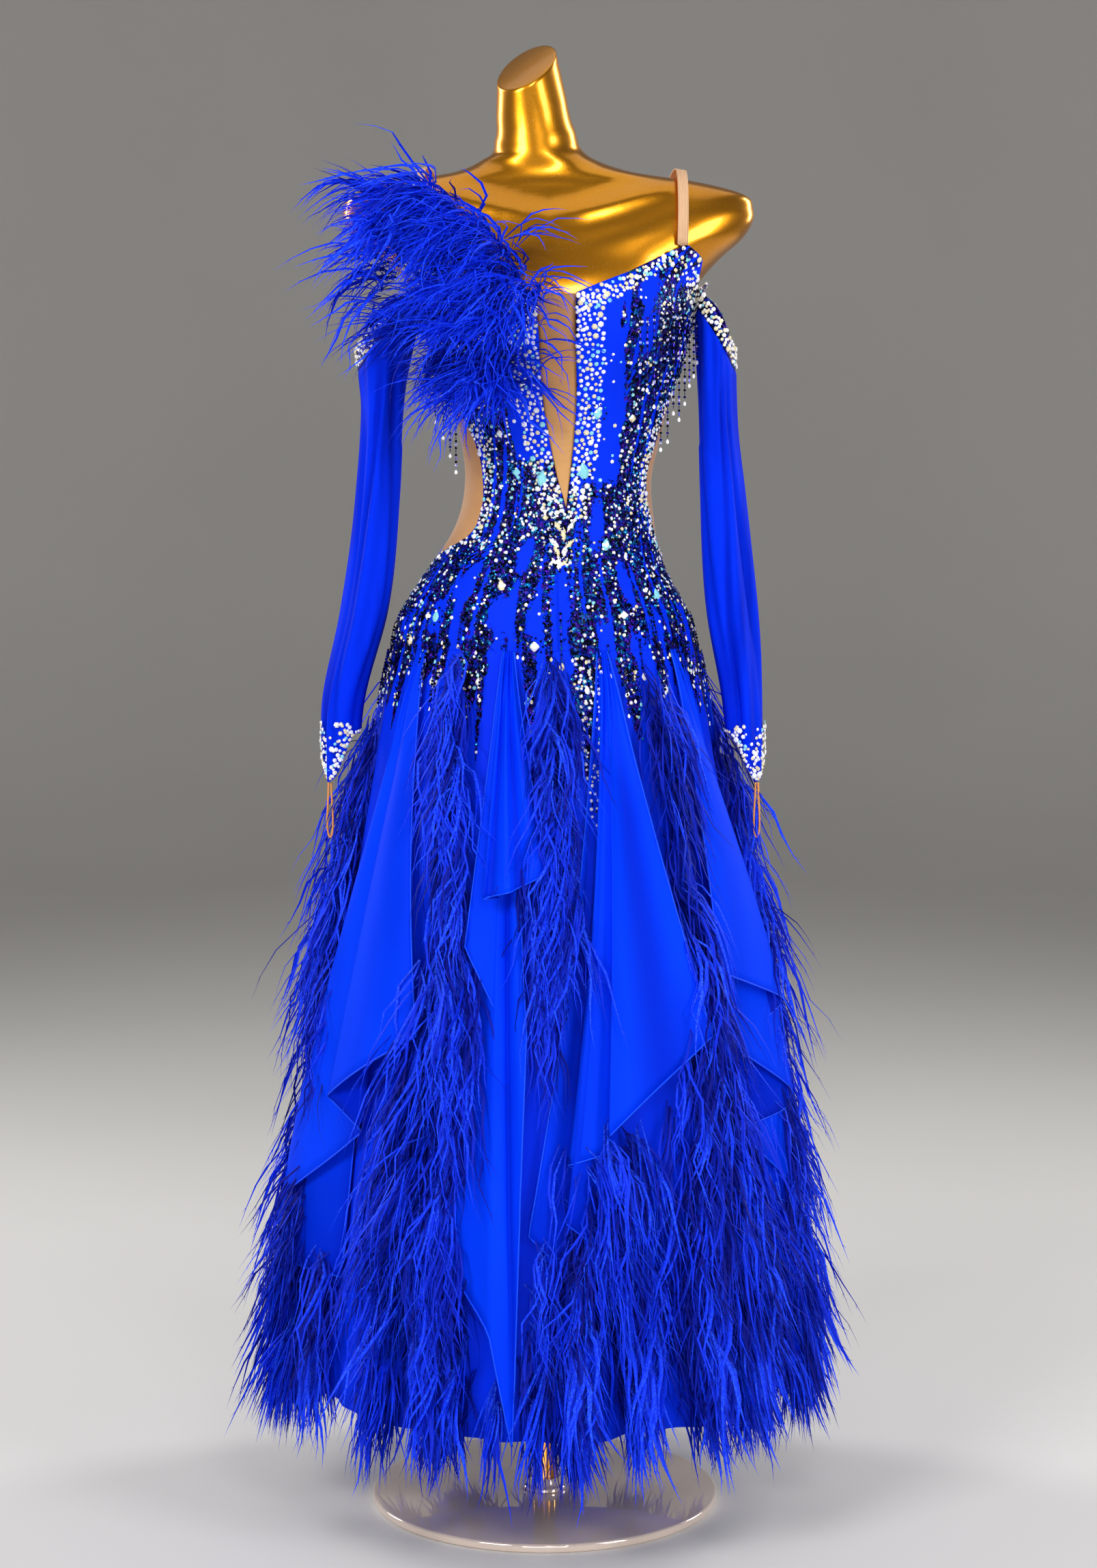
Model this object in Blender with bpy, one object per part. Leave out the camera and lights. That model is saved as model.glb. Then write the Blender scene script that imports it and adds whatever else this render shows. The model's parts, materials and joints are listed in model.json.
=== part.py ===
"""Ballroom gown on a limbless dress form.

Metres, +Z up. The gown's front faces -Y and the wearer's left is at +X. The origin is the centre of the base's
underside. An azimuth of 0 degrees is the front, and +90 is the wearer's left.
"""

import math

import bmesh
import bpy
import numpy as np
from mathutils import Vector
from mathutils.bvhtree import BVHTree

# The stand
BASE_RADIUS = 0.181
BASE_THICKNESS = 0.009
BASE_EDGE_ROUND = 0.003
FLANGE_RADIUS = 0.0235
FLANGE_HEIGHT = 0.012
FLANGE_LIP = 0.004
POLE_RADIUS = 0.0125
SEAT_GAP = 0.0003
ROUND_SIDES = 48

# The form: a row for each level, from the flat underside to the neck. Depths run from the form's middle plane.
FORM_BOTTOM = 0.80
FORM_SIDES = 24
# Columns: height, half width, front, back, middle, bluntness
FIGURE = (
    (0.800, 0.148, 0.094, 0.110, 0.000, 2.0),
    (0.840, 0.151, 0.097, 0.114, 0.000, 2.0),
    (0.880, 0.151, 0.098, 0.115, 0.000, 2.0),
    (0.930, 0.140, 0.092, 0.107, 0.000, 2.0),
    (0.979, 0.112, 0.082, 0.089, 0.003, 2.0),
    (1.020, 0.096, 0.073, 0.074, 0.011, 2.0),
    (1.066, 0.090, 0.068, 0.066, 0.014, 2.0),
    (1.103, 0.096, 0.073, 0.066, 0.016, 2.0),
    (1.140, 0.105, 0.083, 0.072, 0.016, 2.0),
    (1.180, 0.120, 0.098, 0.080, 0.014, 2.0),
    (1.225, 0.133, 0.108, 0.088, 0.012, 2.0),
    (1.260, 0.145, 0.101, 0.092, 0.010, 2.1),
    (1.285, 0.170, 0.088, 0.092, 0.006, 2.3),
    (1.310, 0.199, 0.075, 0.087, 0.004, 2.6),
    (1.335, 0.207, 0.061, 0.078, 0.004, 2.8),
    (1.352, 0.194, 0.050, 0.066, 0.004, 2.8),
    (1.363, 0.152, 0.043, 0.057, 0.002, 2.6),
    (1.373, 0.092, 0.040, 0.051, -0.001, 2.2),
    (1.386, 0.056, 0.039, 0.047, -0.006, 2.0),
    (1.412, 0.040, 0.037, 0.043, -0.010, 2.0),
    (1.442, 0.035, 0.035, 0.038, -0.014, 2.0),
    (1.476, 0.030, 0.034, 0.036, -0.018, 2.0),
)
NECK_CUT_TILT_X = 0.48
NECK_CUT_TILT_Y = 0.62
NECK_TILT_FROM = 1.386

# The bodice
BODICE_GAP = 0.004
BODICE_WALL = 0.002
MESH_WALL = 0.001
SEAM_GAP = 0.0003
HIP_SEAM = 0.895
BACK_TOP = 1.240
CUP_DEPTH = 0.010
CUP_AZIMUTH = 33.0
CUP_HEIGHT = 1.222
CUP_SPREAD_DEGREES = 20.0
CUP_SPREAD_HEIGHT = 0.040
BODICE_LEVELS = (0.895, 0.925, 0.955, 0.980, 1.006, 1.034, 1.066, 1.103, 1.147, 1.175, 1.200, 1.225, 1.247)
V_TIP = 1.034
V_TOP = 1.247
EDGE_COLUMNS = ("height", "v_right", "v_left", "side_right", "side_left", "back_right", "back_left")
BODICE_EDGES = (
    (0.895, 5.3, 5.3, -90.0, 90.0, -90.0, 90.0),
    (0.955, 5.3, 5.3, -90.0, 90.0, -90.0, 90.0),
    (0.980, 5.3, 5.3, -89.0, 89.0, -91.0, 91.0),
    (1.006, 5.3, 5.3, -56.0, 78.0, -99.0, 96.0),
    (1.034, 5.3, 5.3, -50.5, 71.0, -103.0, 99.0),
    (1.066, 1.0, 6.8, -52.5, 68.0, -104.0, 100.0),
    (1.103, -2.6, 7.6, -58.0, 71.0, -102.0, 98.0),
    (1.147, -3.8, 8.2, -76.0, 80.0, -96.0, 94.0),
    (1.175, -3.8, 8.0, -89.0, 89.0, -91.0, 91.0),
    (1.200, -3.8, 7.6, -90.0, 90.0, -90.0, 90.0),
    (1.300, -3.8, 7.0, -90.0, 90.0, -90.0, 90.0),
)
# Columns: across, top
NECKLINE = ((0.0, 1.247), (0.22, 1.268), (0.42, 1.296), (0.62, 1.283), (0.82, 1.254), (1.0, 1.236))
MESH_FIRST_LEVEL = 3
MESH_LAST_LEVEL = 9

# Straps
STRAP_WIDTH = 0.0105
STRAP_THICKNESS = 0.0012
STRAP_AZIMUTH = 40.0
STRAP_TURNS = 22
STRAP_LIFT = 0.0040
STRAP_LIFT_POWER = 0.3
STRAP_OUT = 0.0052
STRAP_CENTRE_HEIGHT = 1.24
STRAP_PLACE = 0.42
STRAP_BOW = 0.0130
STRAP_RAY_FROM = 0.5

# Sleeves: a row for each level. The middle is the distance from the form's middle plane, on either side.
BAND_HEIGHT = 0.020
SLEEVE_WALL = 0.0015
SLEEVE_SIDES = 20
SLEEVE_FOLDS = 5
SLEEVE_LEVELS = (0.14, 0.25, 0.37, 0.49, 0.61, 0.73, 0.84, 0.93, 1.0)
SLEEVE_TOP = 1.2105
SLEEVE_TOP_RISE = 0.0155
SLEEVE_CUFF = 0.806
CUFF_POINT_DROP = 0.049
CUFF_POINT_ANGLE = 54.0
# Columns: height, middle, half width, half depth, fold
SLEEVE_RIGHT = (
    (0.757, 0.2085, 0.0195, 0.030, 0.0010),
    (0.836, 0.2065, 0.0205, 0.032, 0.0012),
    (0.930, 0.1850, 0.0240, 0.036, 0.0020),
    (1.050, 0.1700, 0.0225, 0.040, 0.0022),
    (1.150, 0.1640, 0.0230, 0.044, 0.0014),
    (1.226, 0.1609, 0.0334, 0.048, 0.0000),
)
SLEEVE_LEFT = (
    (0.757, 0.2060, 0.0195, 0.030, 0.0010),
    (0.836, 0.2030, 0.0205, 0.032, 0.0012),
    (0.930, 0.1910, 0.0250, 0.036, 0.0020),
    (1.050, 0.1805, 0.0225, 0.040, 0.0022),
    (1.150, 0.1735, 0.0195, 0.044, 0.0014),
    (1.226, 0.1729, 0.0212, 0.048, 0.0000),
)
LOOP_RADIUS = 0.001
LOOP_DROP = 0.056
LOOP_HALF_WIDTH = 0.0052
LOOP_ROOT_HALF_WIDTH = 0.0013
LOOP_POINTS = 18

# The skirt: a row for each level, from the hip seam down
SKIRT_HEM = 0.140
SKIRT_WALL = 0.0012
SKIRT_COLUMNS = 18
SKIRT_WAVES = 9
SKIRT_WAVE_AT_HEM = 0.006
SKIRT_LEVELS = (0.8947, 0.84, 0.76, 0.66, 0.54, 0.41, 0.27, 0.14)
# Columns: height, half width, front, back
SKIRT = (
    (0.140, 0.250, 0.248, 0.250),
    (0.300, 0.238, 0.234, 0.236),
    (0.450, 0.222, 0.212, 0.214),
    (0.600, 0.202, 0.184, 0.188),
    (0.720, 0.184, 0.156, 0.164),
    (0.800, 0.171, 0.132, 0.144),
    (0.860, 0.162, 0.113, 0.130),
)

# Chiffon panels: azimuths of the two edges at the hip and at the hem, and the hem's height from left to right
PANEL_WALL = 0.0012
PANEL_OUT_AT_HEM = 0.017
PANEL_OUT_AT_TOP = 0.0019
PANEL_FOLD_AT_HEM = 0.010
PANEL_SPREAD_BY = 0.450
PANEL_OUT_WITHIN = 0.30
PANEL_ROWS = 11
PANEL_ACROSS = (0.0, 0.13, 0.25, 0.36, 0.45, 0.54, 0.66, 0.83, 1.0)
# Columns: top left, top right, hem left, hem right, folds, hem heights at five places across
PANELS = (
    (-58, -46, -75, -32, 2.5, (0.267, 0.360, 0.420, 0.450, 0.524)),
    (-18, -8, -21, 1, 2.0, (0.360, 0.520, 0.134, 0.560, 0.660)),
    (17, 26, 14, 42, 2.0, (0.317, 0.380, 0.410, 0.470, 0.521)),
    (51, 62, 52, 80, 2.0, (0.530, 0.500, 0.430, 0.370, 0.310)),
    (92, 101, 94, 122, 2.0, (0.330, 0.400, 0.420, 0.490, 0.540)),
    (134, 143, 134, 162, 2.0, (0.300, 0.370, 0.410, 0.470, 0.520)),
    (174, 185, 174, 202, 2.0, (0.500, 0.420, 0.140, 0.430, 0.510)),
    (213, 223, 214, 240, 2.0, (0.530, 0.480, 0.420, 0.370, 0.300)),
    (250, 261, 252, 272, 2.0, (0.540, 0.490, 0.430, 0.400, 0.330)),
)
HEM_PLACES = (0.0, 0.25, 0.45, 0.66, 1.0)

# Feather boas: azimuths at the hip and at the hem, and the height of the first locks
BOA_OUT = 0.0024
BOA_OUT_AT_TOP = 0.0006
BOA_WIDTH = 0.008
BOA_THICKNESS = 0.003
BOA_BOTTOM = 0.165
BOA_LOCK_ROWS = 11
BOA_ROOT_HEIGHT = 0.013
BOA_PLAIN_SPAN = 0.04
# Columns: hip, hem, first lock
BOAS = (
    (-33, -26, 0.875),
    (1.5, 7.5, 0.862),
    (36, 47, 0.855),
    (76, 87, 0.665),
    (116, 128, 0.860),
    (156, 168, 0.860),
    (197, 208, 0.860),
    (236, 246, 0.860),
    (279, 279, 0.665),
)
# Columns: height, reach
BOA_REACH = ((0.165, 0.062), (0.300, 0.084), (0.450, 0.080), (0.600, 0.062), (0.750, 0.044), (0.870, 0.030))
# Columns: outward share, sideways share, down, half width share, half depth, bend degrees
BOA_LOCK_STEPS = (
    (0.50, 0.14, 0.010, 0.11, 0.0035, 40.0),
    (0.84, 0.46, 0.046, 0.17, 0.0035, 68.0),
)
BOA_LOCK_TIP = (0.98, 0.66, 0.088)

# Shoulder feathers: the strip's azimuth and height on the bodice, and each lock's direction and length
# Columns: azimuth, height
CLUSTER_STRIP = ((-6.0, 1.212), (-17.0, 1.222), (-28.0, 1.232), (-40.0, 1.243), (-52.0, 1.252), (-63.0, 1.256))
CLUSTER_LOCK_ROWS = 17
CLUSTER_FIRST = 0.02
CLUSTER_RUN = 0.97
CLUSTER_ROOT_SHARE = 0.6
CLUSTER_STRAY = 5.0
CLUSTER_OUT = 0.0028
CLUSTER_REACH = 0.092
CLUSTER_REACH_MORE = 0.024
CLUSTER_FAN_FROM = 52.0
CLUSTER_FAN_TO = 128.0
CLUSTER_LIFT = 0.045
CLUSTER_HALF_WIDTH = 0.0028
CLUSTER_HALF_DEPTH = 0.0034

# Colours, roughness and metallic value of each kind of piece
FINISHES = {
    "blue_crepe": ((0.004, 0.030, 0.66), 0.55, 0.0),
    "blue_chiffon": ((0.006, 0.045, 0.85), 0.50, 0.0),
    "blue_feather": ((0.004, 0.028, 0.70), 0.80, 0.0),
    "nude_mesh": ((0.62, 0.36, 0.17), 0.60, 0.0),
    "nude_elastic": ((0.74, 0.44, 0.26), 0.55, 0.0),
    "jewel_band": ((0.55, 0.65, 0.85), 0.20, 0.3),
    "gold_paint": ((0.62, 0.34, 0.07), 0.25, 1.0),
    "mirror_steel": ((0.80, 0.78, 0.75), 0.05, 1.0),
    "gold_tube": ((0.66, 0.42, 0.14), 0.18, 1.0),
}


def clear_scene():
    """Remove whatever the scene holds."""
    for obj in list(bpy.data.objects):
        bpy.data.objects.remove(obj, do_unlink=True)


def finish(kind):
    """Return the material of one kind of piece, made the first time it is asked for."""
    material = bpy.data.materials.get(kind)
    if material is None:
        colour, roughness, metallic = FINISHES[kind]
        material = bpy.data.materials.new(kind)
        material.use_nodes = True
        shader = material.node_tree.nodes["Principled BSDF"]
        shader.inputs["Base Color"].default_value = (*colour, 1.0)
        shader.inputs["Roughness"].default_value = roughness
        shader.inputs["Metallic"].default_value = metallic
    return material


def piece_from(bm, name, kind, smooth=True):
    """Turn a finished bmesh into a named object with its material."""
    bmesh.ops.recalc_face_normals(bm, faces=bm.faces)
    mesh = bpy.data.meshes.new(name)
    bm.to_mesh(mesh)
    bm.free()
    if smooth:
        mesh.shade_smooth()
    mesh.materials.append(finish(kind))
    obj = bpy.data.objects.new(name, mesh)
    bpy.context.scene.collection.objects.link(obj)
    return obj


def smooth_row(table, height):
    """Read a table whose first column is a rising height, along smooth curves through its rows."""
    rows = np.array(table, dtype=float)
    heights = rows[:, 0]
    height = min(max(height, heights[0]), heights[-1])
    index = min(int(np.searchsorted(heights, height, side="right")) - 1, len(heights) - 2)
    slopes = np.gradient(rows[:, 1:], heights, axis=0)
    span = heights[index + 1] - heights[index]
    t = (height - heights[index]) / span
    start = rows[index, 1:]
    end = rows[index + 1, 1:]
    run = slopes[index] * span
    land = slopes[index + 1] * span
    return (
        (2 * t**3 - 3 * t**2 + 1) * start
        + (t**3 - 2 * t**2 + t) * run
        + (3 * t**2 - 2 * t**3) * end
        + (t**3 - t**2) * land
    )


def straight_row(table, height):
    """Read a table whose first column rises, along straight lines between its rows."""
    rows = np.array(table, dtype=float)
    return [float(np.interp(height, rows[:, 0], rows[:, i])) for i in range(1, rows.shape[1])]


def on_oval(azimuth, height, half_width, front, back, middle, bluntness, out):
    """Return the point at this azimuth on an oval, moved out.

    Front and back depths differ, and a bluntness above 2 squares the oval's sides.
    """
    angle = math.radians(azimuth)
    power = 2.0 / bluntness
    across = math.copysign(abs(math.sin(angle)) ** power, math.sin(angle))
    forward = math.copysign(abs(math.cos(angle)) ** power, math.cos(angle))
    depth = front if forward > 0 else back
    return Vector((middle + (half_width + out) * across, -(depth + out) * forward, height))


def figure_point(azimuth, height, out):
    """Return a point on the form, or at a distance outside it."""
    return on_oval(azimuth, height, *smooth_row(FIGURE, height), out)


def cup(azimuth, height):
    """Return how far the bust cups stand out here."""
    lift = math.exp(-(((height - CUP_HEIGHT) / CUP_SPREAD_HEIGHT) ** 2))
    left = math.exp(-(((azimuth - CUP_AZIMUTH) / CUP_SPREAD_DEGREES) ** 2))
    right = math.exp(-(((azimuth + CUP_AZIMUTH) / CUP_SPREAD_DEGREES) ** 2))
    return CUP_DEPTH * lift * (left + right)


def bodice_point(azimuth, height, out=0.0):
    """Return a point on the bodice's outer face, or at a distance outside it."""
    return figure_point(azimuth, height, BODICE_GAP + BODICE_WALL + cup(azimuth, height) + out)


def skirt_section(height):
    """Return the underskirt's section: the hips at the seam, and the skirt's own table below it."""
    half_width, front, back = smooth_row(FIGURE, HIP_SEAM)[:3]
    out = BODICE_GAP + SKIRT_WALL
    seam = (HIP_SEAM, half_width + out, front + out, back + out)
    return smooth_row((*SKIRT, seam), height)


def skirt_point(azimuth, height, out=0.0):
    """Return a point on the underskirt's outer face, or at a distance outside it."""
    half_width, front, back = skirt_section(height)
    fall = (HIP_SEAM - height) / (HIP_SEAM - SKIRT_HEM)
    wave = SKIRT_WAVE_AT_HEM * fall * math.cos(math.radians(SKIRT_WAVES * azimuth))
    return on_oval(azimuth, height, half_width, front, back, 0.0, 2.0, out + wave)


def cloth_wall(name, kind, point, across, up, wall, wrap=False):
    """Make one closed wall from an outer and an inner grid. point takes across, up and the distance moved out.

    Both grids are split along the same diagonals, so the wall keeps its thickness where the cloth twists.
    """
    bm = bmesh.new()
    outer = [[bm.verts.new(point(u, v, 0.0)) for u in across] for v in up]
    inner = [[bm.verts.new(point(u, v, -wall)) for u in across] for v in up]
    columns = len(across)
    spans = columns if wrap else columns - 1
    last = len(up) - 1
    for row in range(last):
        for column in range(spans):
            after = (column + 1) % columns
            a, b = outer[row][column], outer[row][after]
            c, d = outer[row + 1][after], outer[row + 1][column]
            bm.faces.new((a, b, c))
            bm.faces.new((a, c, d))
            a, b = inner[row][column], inner[row][after]
            c, d = inner[row + 1][after], inner[row + 1][column]
            bm.faces.new((c, b, a))
            bm.faces.new((d, c, a))
    for row in (0, last):
        for column in range(spans):
            after = (column + 1) % columns
            bm.faces.new((outer[row][column], outer[row][after], inner[row][after], inner[row][column]))
    if not wrap:
        for column in (0, columns - 1):
            for row in range(last):
                bm.faces.new((
                    outer[row][column],
                    outer[row + 1][column],
                    inner[row + 1][column],
                    inner[row][column],
                ))
    return piece_from(bm, name, kind)


def turned_piece(name, kind, profile):
    """Turn a profile of radius and height round the Z axis. Its ends lie on flat round faces."""
    bm = bmesh.new()
    rings = []
    for radius, height in profile:
        ring = []
        for side in range(ROUND_SIDES):
            angle = 2 * math.pi * side / ROUND_SIDES
            ring.append(bm.verts.new((radius * math.cos(angle), radius * math.sin(angle), height)))
        rings.append(ring)
    for low, high in zip(rings, rings[1:]):
        for side in range(ROUND_SIDES):
            after = (side + 1) % ROUND_SIDES
            bm.faces.new((low[side], low[after], high[after], high[side]))
    bm.faces.new(rings[0])
    bm.faces.new(rings[-1])
    obj = piece_from(bm, name, kind)
    obj.data.set_sharp_from_angle(angle=math.radians(40))
    return obj


def make_stand():
    """Make the polished base, its flange and the pole."""
    edge = BASE_EDGE_ROUND
    turned_piece("base_disc", "mirror_steel", (
        (BASE_RADIUS - edge, 0.0),
        (BASE_RADIUS, edge),
        (BASE_RADIUS, BASE_THICKNESS - edge),
        (BASE_RADIUS - edge, BASE_THICKNESS),
    ))
    low = BASE_THICKNESS + SEAT_GAP
    top = low + FLANGE_HEIGHT
    turned_piece("base_flange", "mirror_steel", (
        (FLANGE_RADIUS, low),
        (FLANGE_RADIUS, low + FLANGE_HEIGHT / 3),
        (POLE_RADIUS + FLANGE_LIP, top),
    ))
    turned_piece("pole", "gold_tube", (
        (POLE_RADIUS, top + SEAT_GAP),
        (POLE_RADIUS, FORM_BOTTOM - SEAT_GAP),
    ))


def form_vertex(azimuth, row):
    """Return a point on the form. Levels near the neck's cut lean with it."""
    height, middle = row[0], row[4]
    point = on_oval(azimuth, *row, 0.0)
    lean = max(0.0, (height - NECK_TILT_FROM) / (FIGURE[-1][0] - NECK_TILT_FROM))
    point.z += lean * (NECK_CUT_TILT_X * (point.x - middle) + NECK_CUT_TILT_Y * point.y)
    return point


def make_form():
    """Make the smooth, whole form: a ring of points for each level, and a flat face at either end."""
    bm = bmesh.new()
    rings = []
    for row in FIGURE:
        azimuths = [360.0 * side / FORM_SIDES for side in range(FORM_SIDES)]
        rings.append([bm.verts.new(form_vertex(azimuth, row)) for azimuth in azimuths])
    for low, high in zip(rings, rings[1:]):
        for side in range(FORM_SIDES):
            after = (side + 1) % FORM_SIDES
            bm.faces.new((low[side], low[after], high[after], high[side]))
    bm.faces.new(rings[0])
    bm.faces.new(rings[-1])
    return piece_from(bm, "dress_form", "gold_paint")


def edge_at(name, height):
    """Return the azimuth of one of the bodice's edges at this height."""
    return straight_row(BODICE_EDGES, height)[EDGE_COLUMNS.index(name) - 1]


def seam_angle(height):
    """Return half a seam's gap as an azimuth, at the bodice's width here."""
    front = smooth_row(FIGURE, height)[1]
    return math.degrees(0.5 * SEAM_GAP / front)


def level_at(across, level):
    """Return the height of one of the bodice's levels, stretched to meet the neckline here."""
    top = float(np.interp(across, *zip(*NECKLINE)))
    share = (level - HIP_SEAM) / (V_TOP - HIP_SEAM)
    return HIP_SEAM + share * (top - HIP_SEAM)


def make_bodice_fronts():
    """Make the two fronts, which meet under the V and end at the side cut-outs."""
    across = [i / 8 for i in range(9)]
    for side, v_edge, side_edge in ((-1, "v_right", "side_right"), (1, "v_left", "side_left")):

        def point(u, level, out, side=side, v_edge=v_edge, side_edge=side_edge):
            height = level_at(u, level)
            gap = seam_angle(height)
            start = edge_at(v_edge, height) + side * gap
            end = edge_at(side_edge, height) - side * gap
            return bodice_point(start + (end - start) * u, height, out)

        name = "bodice_front_right" if side < 0 else "bodice_front_left"
        cloth_wall(name, "blue_crepe", point, across, BODICE_LEVELS, BODICE_WALL)


def make_bodice_back():
    """Make the plain back, from one side seam round to the other."""
    across = [i / 14 for i in range(15)]
    levels = [HIP_SEAM + (level - HIP_SEAM) * (BACK_TOP - HIP_SEAM) / (V_TOP - HIP_SEAM) for level in BODICE_LEVELS]

    def point(u, height, out):
        gap = seam_angle(height)
        start = edge_at("back_left", height) + gap
        end = 360.0 + edge_at("back_right", height) - gap
        return figure_point(start + (end - start) * u, height, BODICE_GAP + BODICE_WALL + out)

    cloth_wall("bodice_back", "blue_crepe", point, across, levels, BODICE_WALL)


def make_mesh_insets():
    """Make the nude mesh inside the V and in the crescent at either side of the waist."""
    v_levels = [level for level in BODICE_LEVELS if level > V_TIP]

    def v_point(u, height, out):
        gap = seam_angle(height)
        start = edge_at("v_right", height) + gap
        end = edge_at("v_left", height) - gap
        return figure_point(start + (end - start) * u, height, BODICE_GAP + MESH_WALL + out)

    cloth_wall("v_insert", "nude_mesh", v_point, (0.0, 0.5, 1.0), v_levels, MESH_WALL)
    side_levels = [level_at(1.0, level) for level in BODICE_LEVELS[MESH_FIRST_LEVEL : MESH_LAST_LEVEL + 1]]
    for side, front_edge, back_edge in ((-1, "side_right", "back_right"), (1, "side_left", "back_left")):

        def side_point(u, height, out, side=side, front_edge=front_edge, back_edge=back_edge):
            gap = seam_angle(height)
            start = edge_at(front_edge, height) + side * gap
            end = edge_at(back_edge, height) - side * gap
            return figure_point(start + (end - start) * u, height, BODICE_GAP + MESH_WALL + out)

        name = "side_mesh_right" if side < 0 else "side_mesh_left"
        cloth_wall(name, "nude_mesh", side_point, [i / 5 for i in range(6)], side_levels, MESH_WALL)


def make_strap(name, side, form_tree):
    """Make one elastic strap from the front neckline over the shoulder to the back's top edge."""
    front_start = bodice_point(side * STRAP_AZIMUTH, level_at(STRAP_PLACE, V_TOP) + SEAM_GAP)
    back_end = figure_point(side * (180.0 - STRAP_AZIMUTH), BACK_TOP + SEAM_GAP, BODICE_GAP)
    centre_height = STRAP_CENTRE_HEIGHT
    start_angle = math.atan2(front_start.z - centre_height, -front_start.y)
    end_angle = math.atan2(back_end.z - centre_height, -back_end.y)
    path = []
    for turn in range(STRAP_TURNS + 1):
        share = turn / STRAP_TURNS
        angle = start_angle + (end_angle - start_angle) * share
        x = front_start.x + (back_end.x - front_start.x) * share + side * STRAP_BOW * math.sin(math.pi * share)
        inward = Vector((0.0, math.cos(angle), -math.sin(angle)))
        centre = Vector((x, 0.0, centre_height))
        row = []
        for offset in (-STRAP_WIDTH / 2, STRAP_WIDTH / 2):
            across = Vector((offset, 0.0, 0.0))
            hit = form_tree.ray_cast(centre + across - inward * STRAP_RAY_FROM, inward)[0]
            row.append((hit, -inward))
        path.append(row)

    def point(u, turn, out):
        hit, outward = path[turn][u]
        lift = STRAP_LIFT * max(0.0, math.sin(math.pi * turn / STRAP_TURNS)) ** STRAP_LIFT_POWER
        return hit + outward * (STRAP_OUT + lift + STRAP_THICKNESS + out)

    cloth_wall(name, "nude_elastic", point, (0, 1), range(STRAP_TURNS + 1), STRAP_THICKNESS)


def sleeve_height(angle, share):
    """Return the height on a sleeve: slanted at the top, pointed at the cuff. share runs from top to cuff."""
    top = SLEEVE_TOP - SLEEVE_TOP_RISE * math.cos(angle)
    near_point = max(0.0, math.cos(angle - math.radians(CUFF_POINT_ANGLE))) ** 2
    cuff = SLEEVE_CUFF - CUFF_POINT_DROP * near_point
    return top + (cuff - top) * share


def sleeve_point(side, angle, share, out):
    """Return a point on a sleeve. Angle 0 is the side away from the body, and +90 degrees the front."""
    height = sleeve_height(angle, share)
    table = SLEEVE_RIGHT if side < 0 else SLEEVE_LEFT
    middle, half_width, half_depth, fold = smooth_row(table, height)
    fold *= math.cos(SLEEVE_FOLDS * angle)
    reach = middle + (half_width + fold + out) * math.cos(angle)
    return Vector((side * reach, -(half_depth + fold + out) * math.sin(angle), height))


def make_sleeve(side):
    """Make one sleeve's jewelled band, its long open tube and the elastic finger loop at its point."""
    word = "right" if side < 0 else "left"
    angles = [2 * math.pi * i / SLEEVE_SIDES for i in range(SLEEVE_SIDES)]
    length = SLEEVE_TOP - SLEEVE_CUFF
    band_share = BAND_HEIGHT / length
    gap_share = SEAM_GAP / length
    tube = [band_share + gap_share, *SLEEVE_LEVELS]

    def point(angle, share, out):
        return sleeve_point(side, angle, share, out)

    cloth_wall(f"sleeve_band_{word}", "jewel_band", point, angles, (0.0, band_share), SLEEVE_WALL, wrap=True)
    cloth_wall(f"sleeve_{word}", "blue_crepe", point, angles, tube, SLEEVE_WALL, wrap=True)
    make_finger_loop(f"finger_loop_{word}", side)


def make_finger_loop(name, side):
    """Make the elastic loop that hangs from the cuff's point, as a cord whose two ends meet the cuff's edge."""
    root = sleeve_point(side, math.radians(CUFF_POINT_ANGLE), 1.0, -SLEEVE_WALL / 2)
    root.z -= 2 * SEAM_GAP
    points = []
    for index in range(LOOP_POINTS + 1):
        turn = math.pi * index / LOOP_POINTS
        drop = LOOP_DROP * math.sin(turn) ** 0.7
        width = LOOP_ROOT_HALF_WIDTH + (LOOP_HALF_WIDTH - LOOP_ROOT_HALF_WIDTH) * math.sin(turn)
        points.append(root + Vector((-width * math.cos(turn), 0.0, -drop)))
    curve = bpy.data.curves.new(name, "CURVE")
    curve.dimensions = "3D"
    curve.bevel_depth = LOOP_RADIUS
    curve.bevel_resolution = 2
    curve.use_fill_caps = True
    spline = curve.splines.new("POLY")
    spline.points.add(len(points) - 1)
    for place, point in zip(spline.points, points):
        place.co = (*point, 1.0)
    curve.materials.append(finish("nude_elastic"))
    obj = bpy.data.objects.new(name, curve)
    bpy.context.scene.collection.objects.link(obj)


def make_underskirt():
    """Make the underskirt's front and back, which meet at the sides and are open at the hem."""
    for name, start in (("skirt_front", -90.0), ("skirt_back", 90.0)):

        def point(u, height, out, start=start):
            gap = math.degrees(0.5 * SEAM_GAP / skirt_section(height)[0])
            return skirt_point(start + gap + (180.0 - 2 * gap) * u, height, out)

        across = [i / SKIRT_COLUMNS for i in range(SKIRT_COLUMNS + 1)]
        cloth_wall(name, "blue_crepe", point, across, SKIRT_LEVELS, SKIRT_WALL)


def panel_point(panel, u, v, out):
    """Return a point on a chiffon panel, u from its left edge to its right and v from the hip to the hem."""
    top_left, top_right, hem_left, hem_right, folds, hems = panel
    top = HIP_SEAM - SEAM_GAP
    height = top + (float(np.interp(u, HEM_PLACES, hems)) - top) * v
    spread = min(1.0, (top - height) / (top - PANEL_SPREAD_BY))
    left = top_left + (hem_left - top_left) * spread
    right = top_right + (hem_right - top_right) * spread
    share = min(1.0, (top - height) / PANEL_OUT_WITHIN)
    away = PANEL_OUT_AT_TOP + (PANEL_OUT_AT_HEM - PANEL_OUT_AT_TOP) * share
    fold = PANEL_FOLD_AT_HEM * share * math.cos(2 * math.pi * folds * u)
    return skirt_point(left + (right - left) * u, height, away + fold + out)


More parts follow.
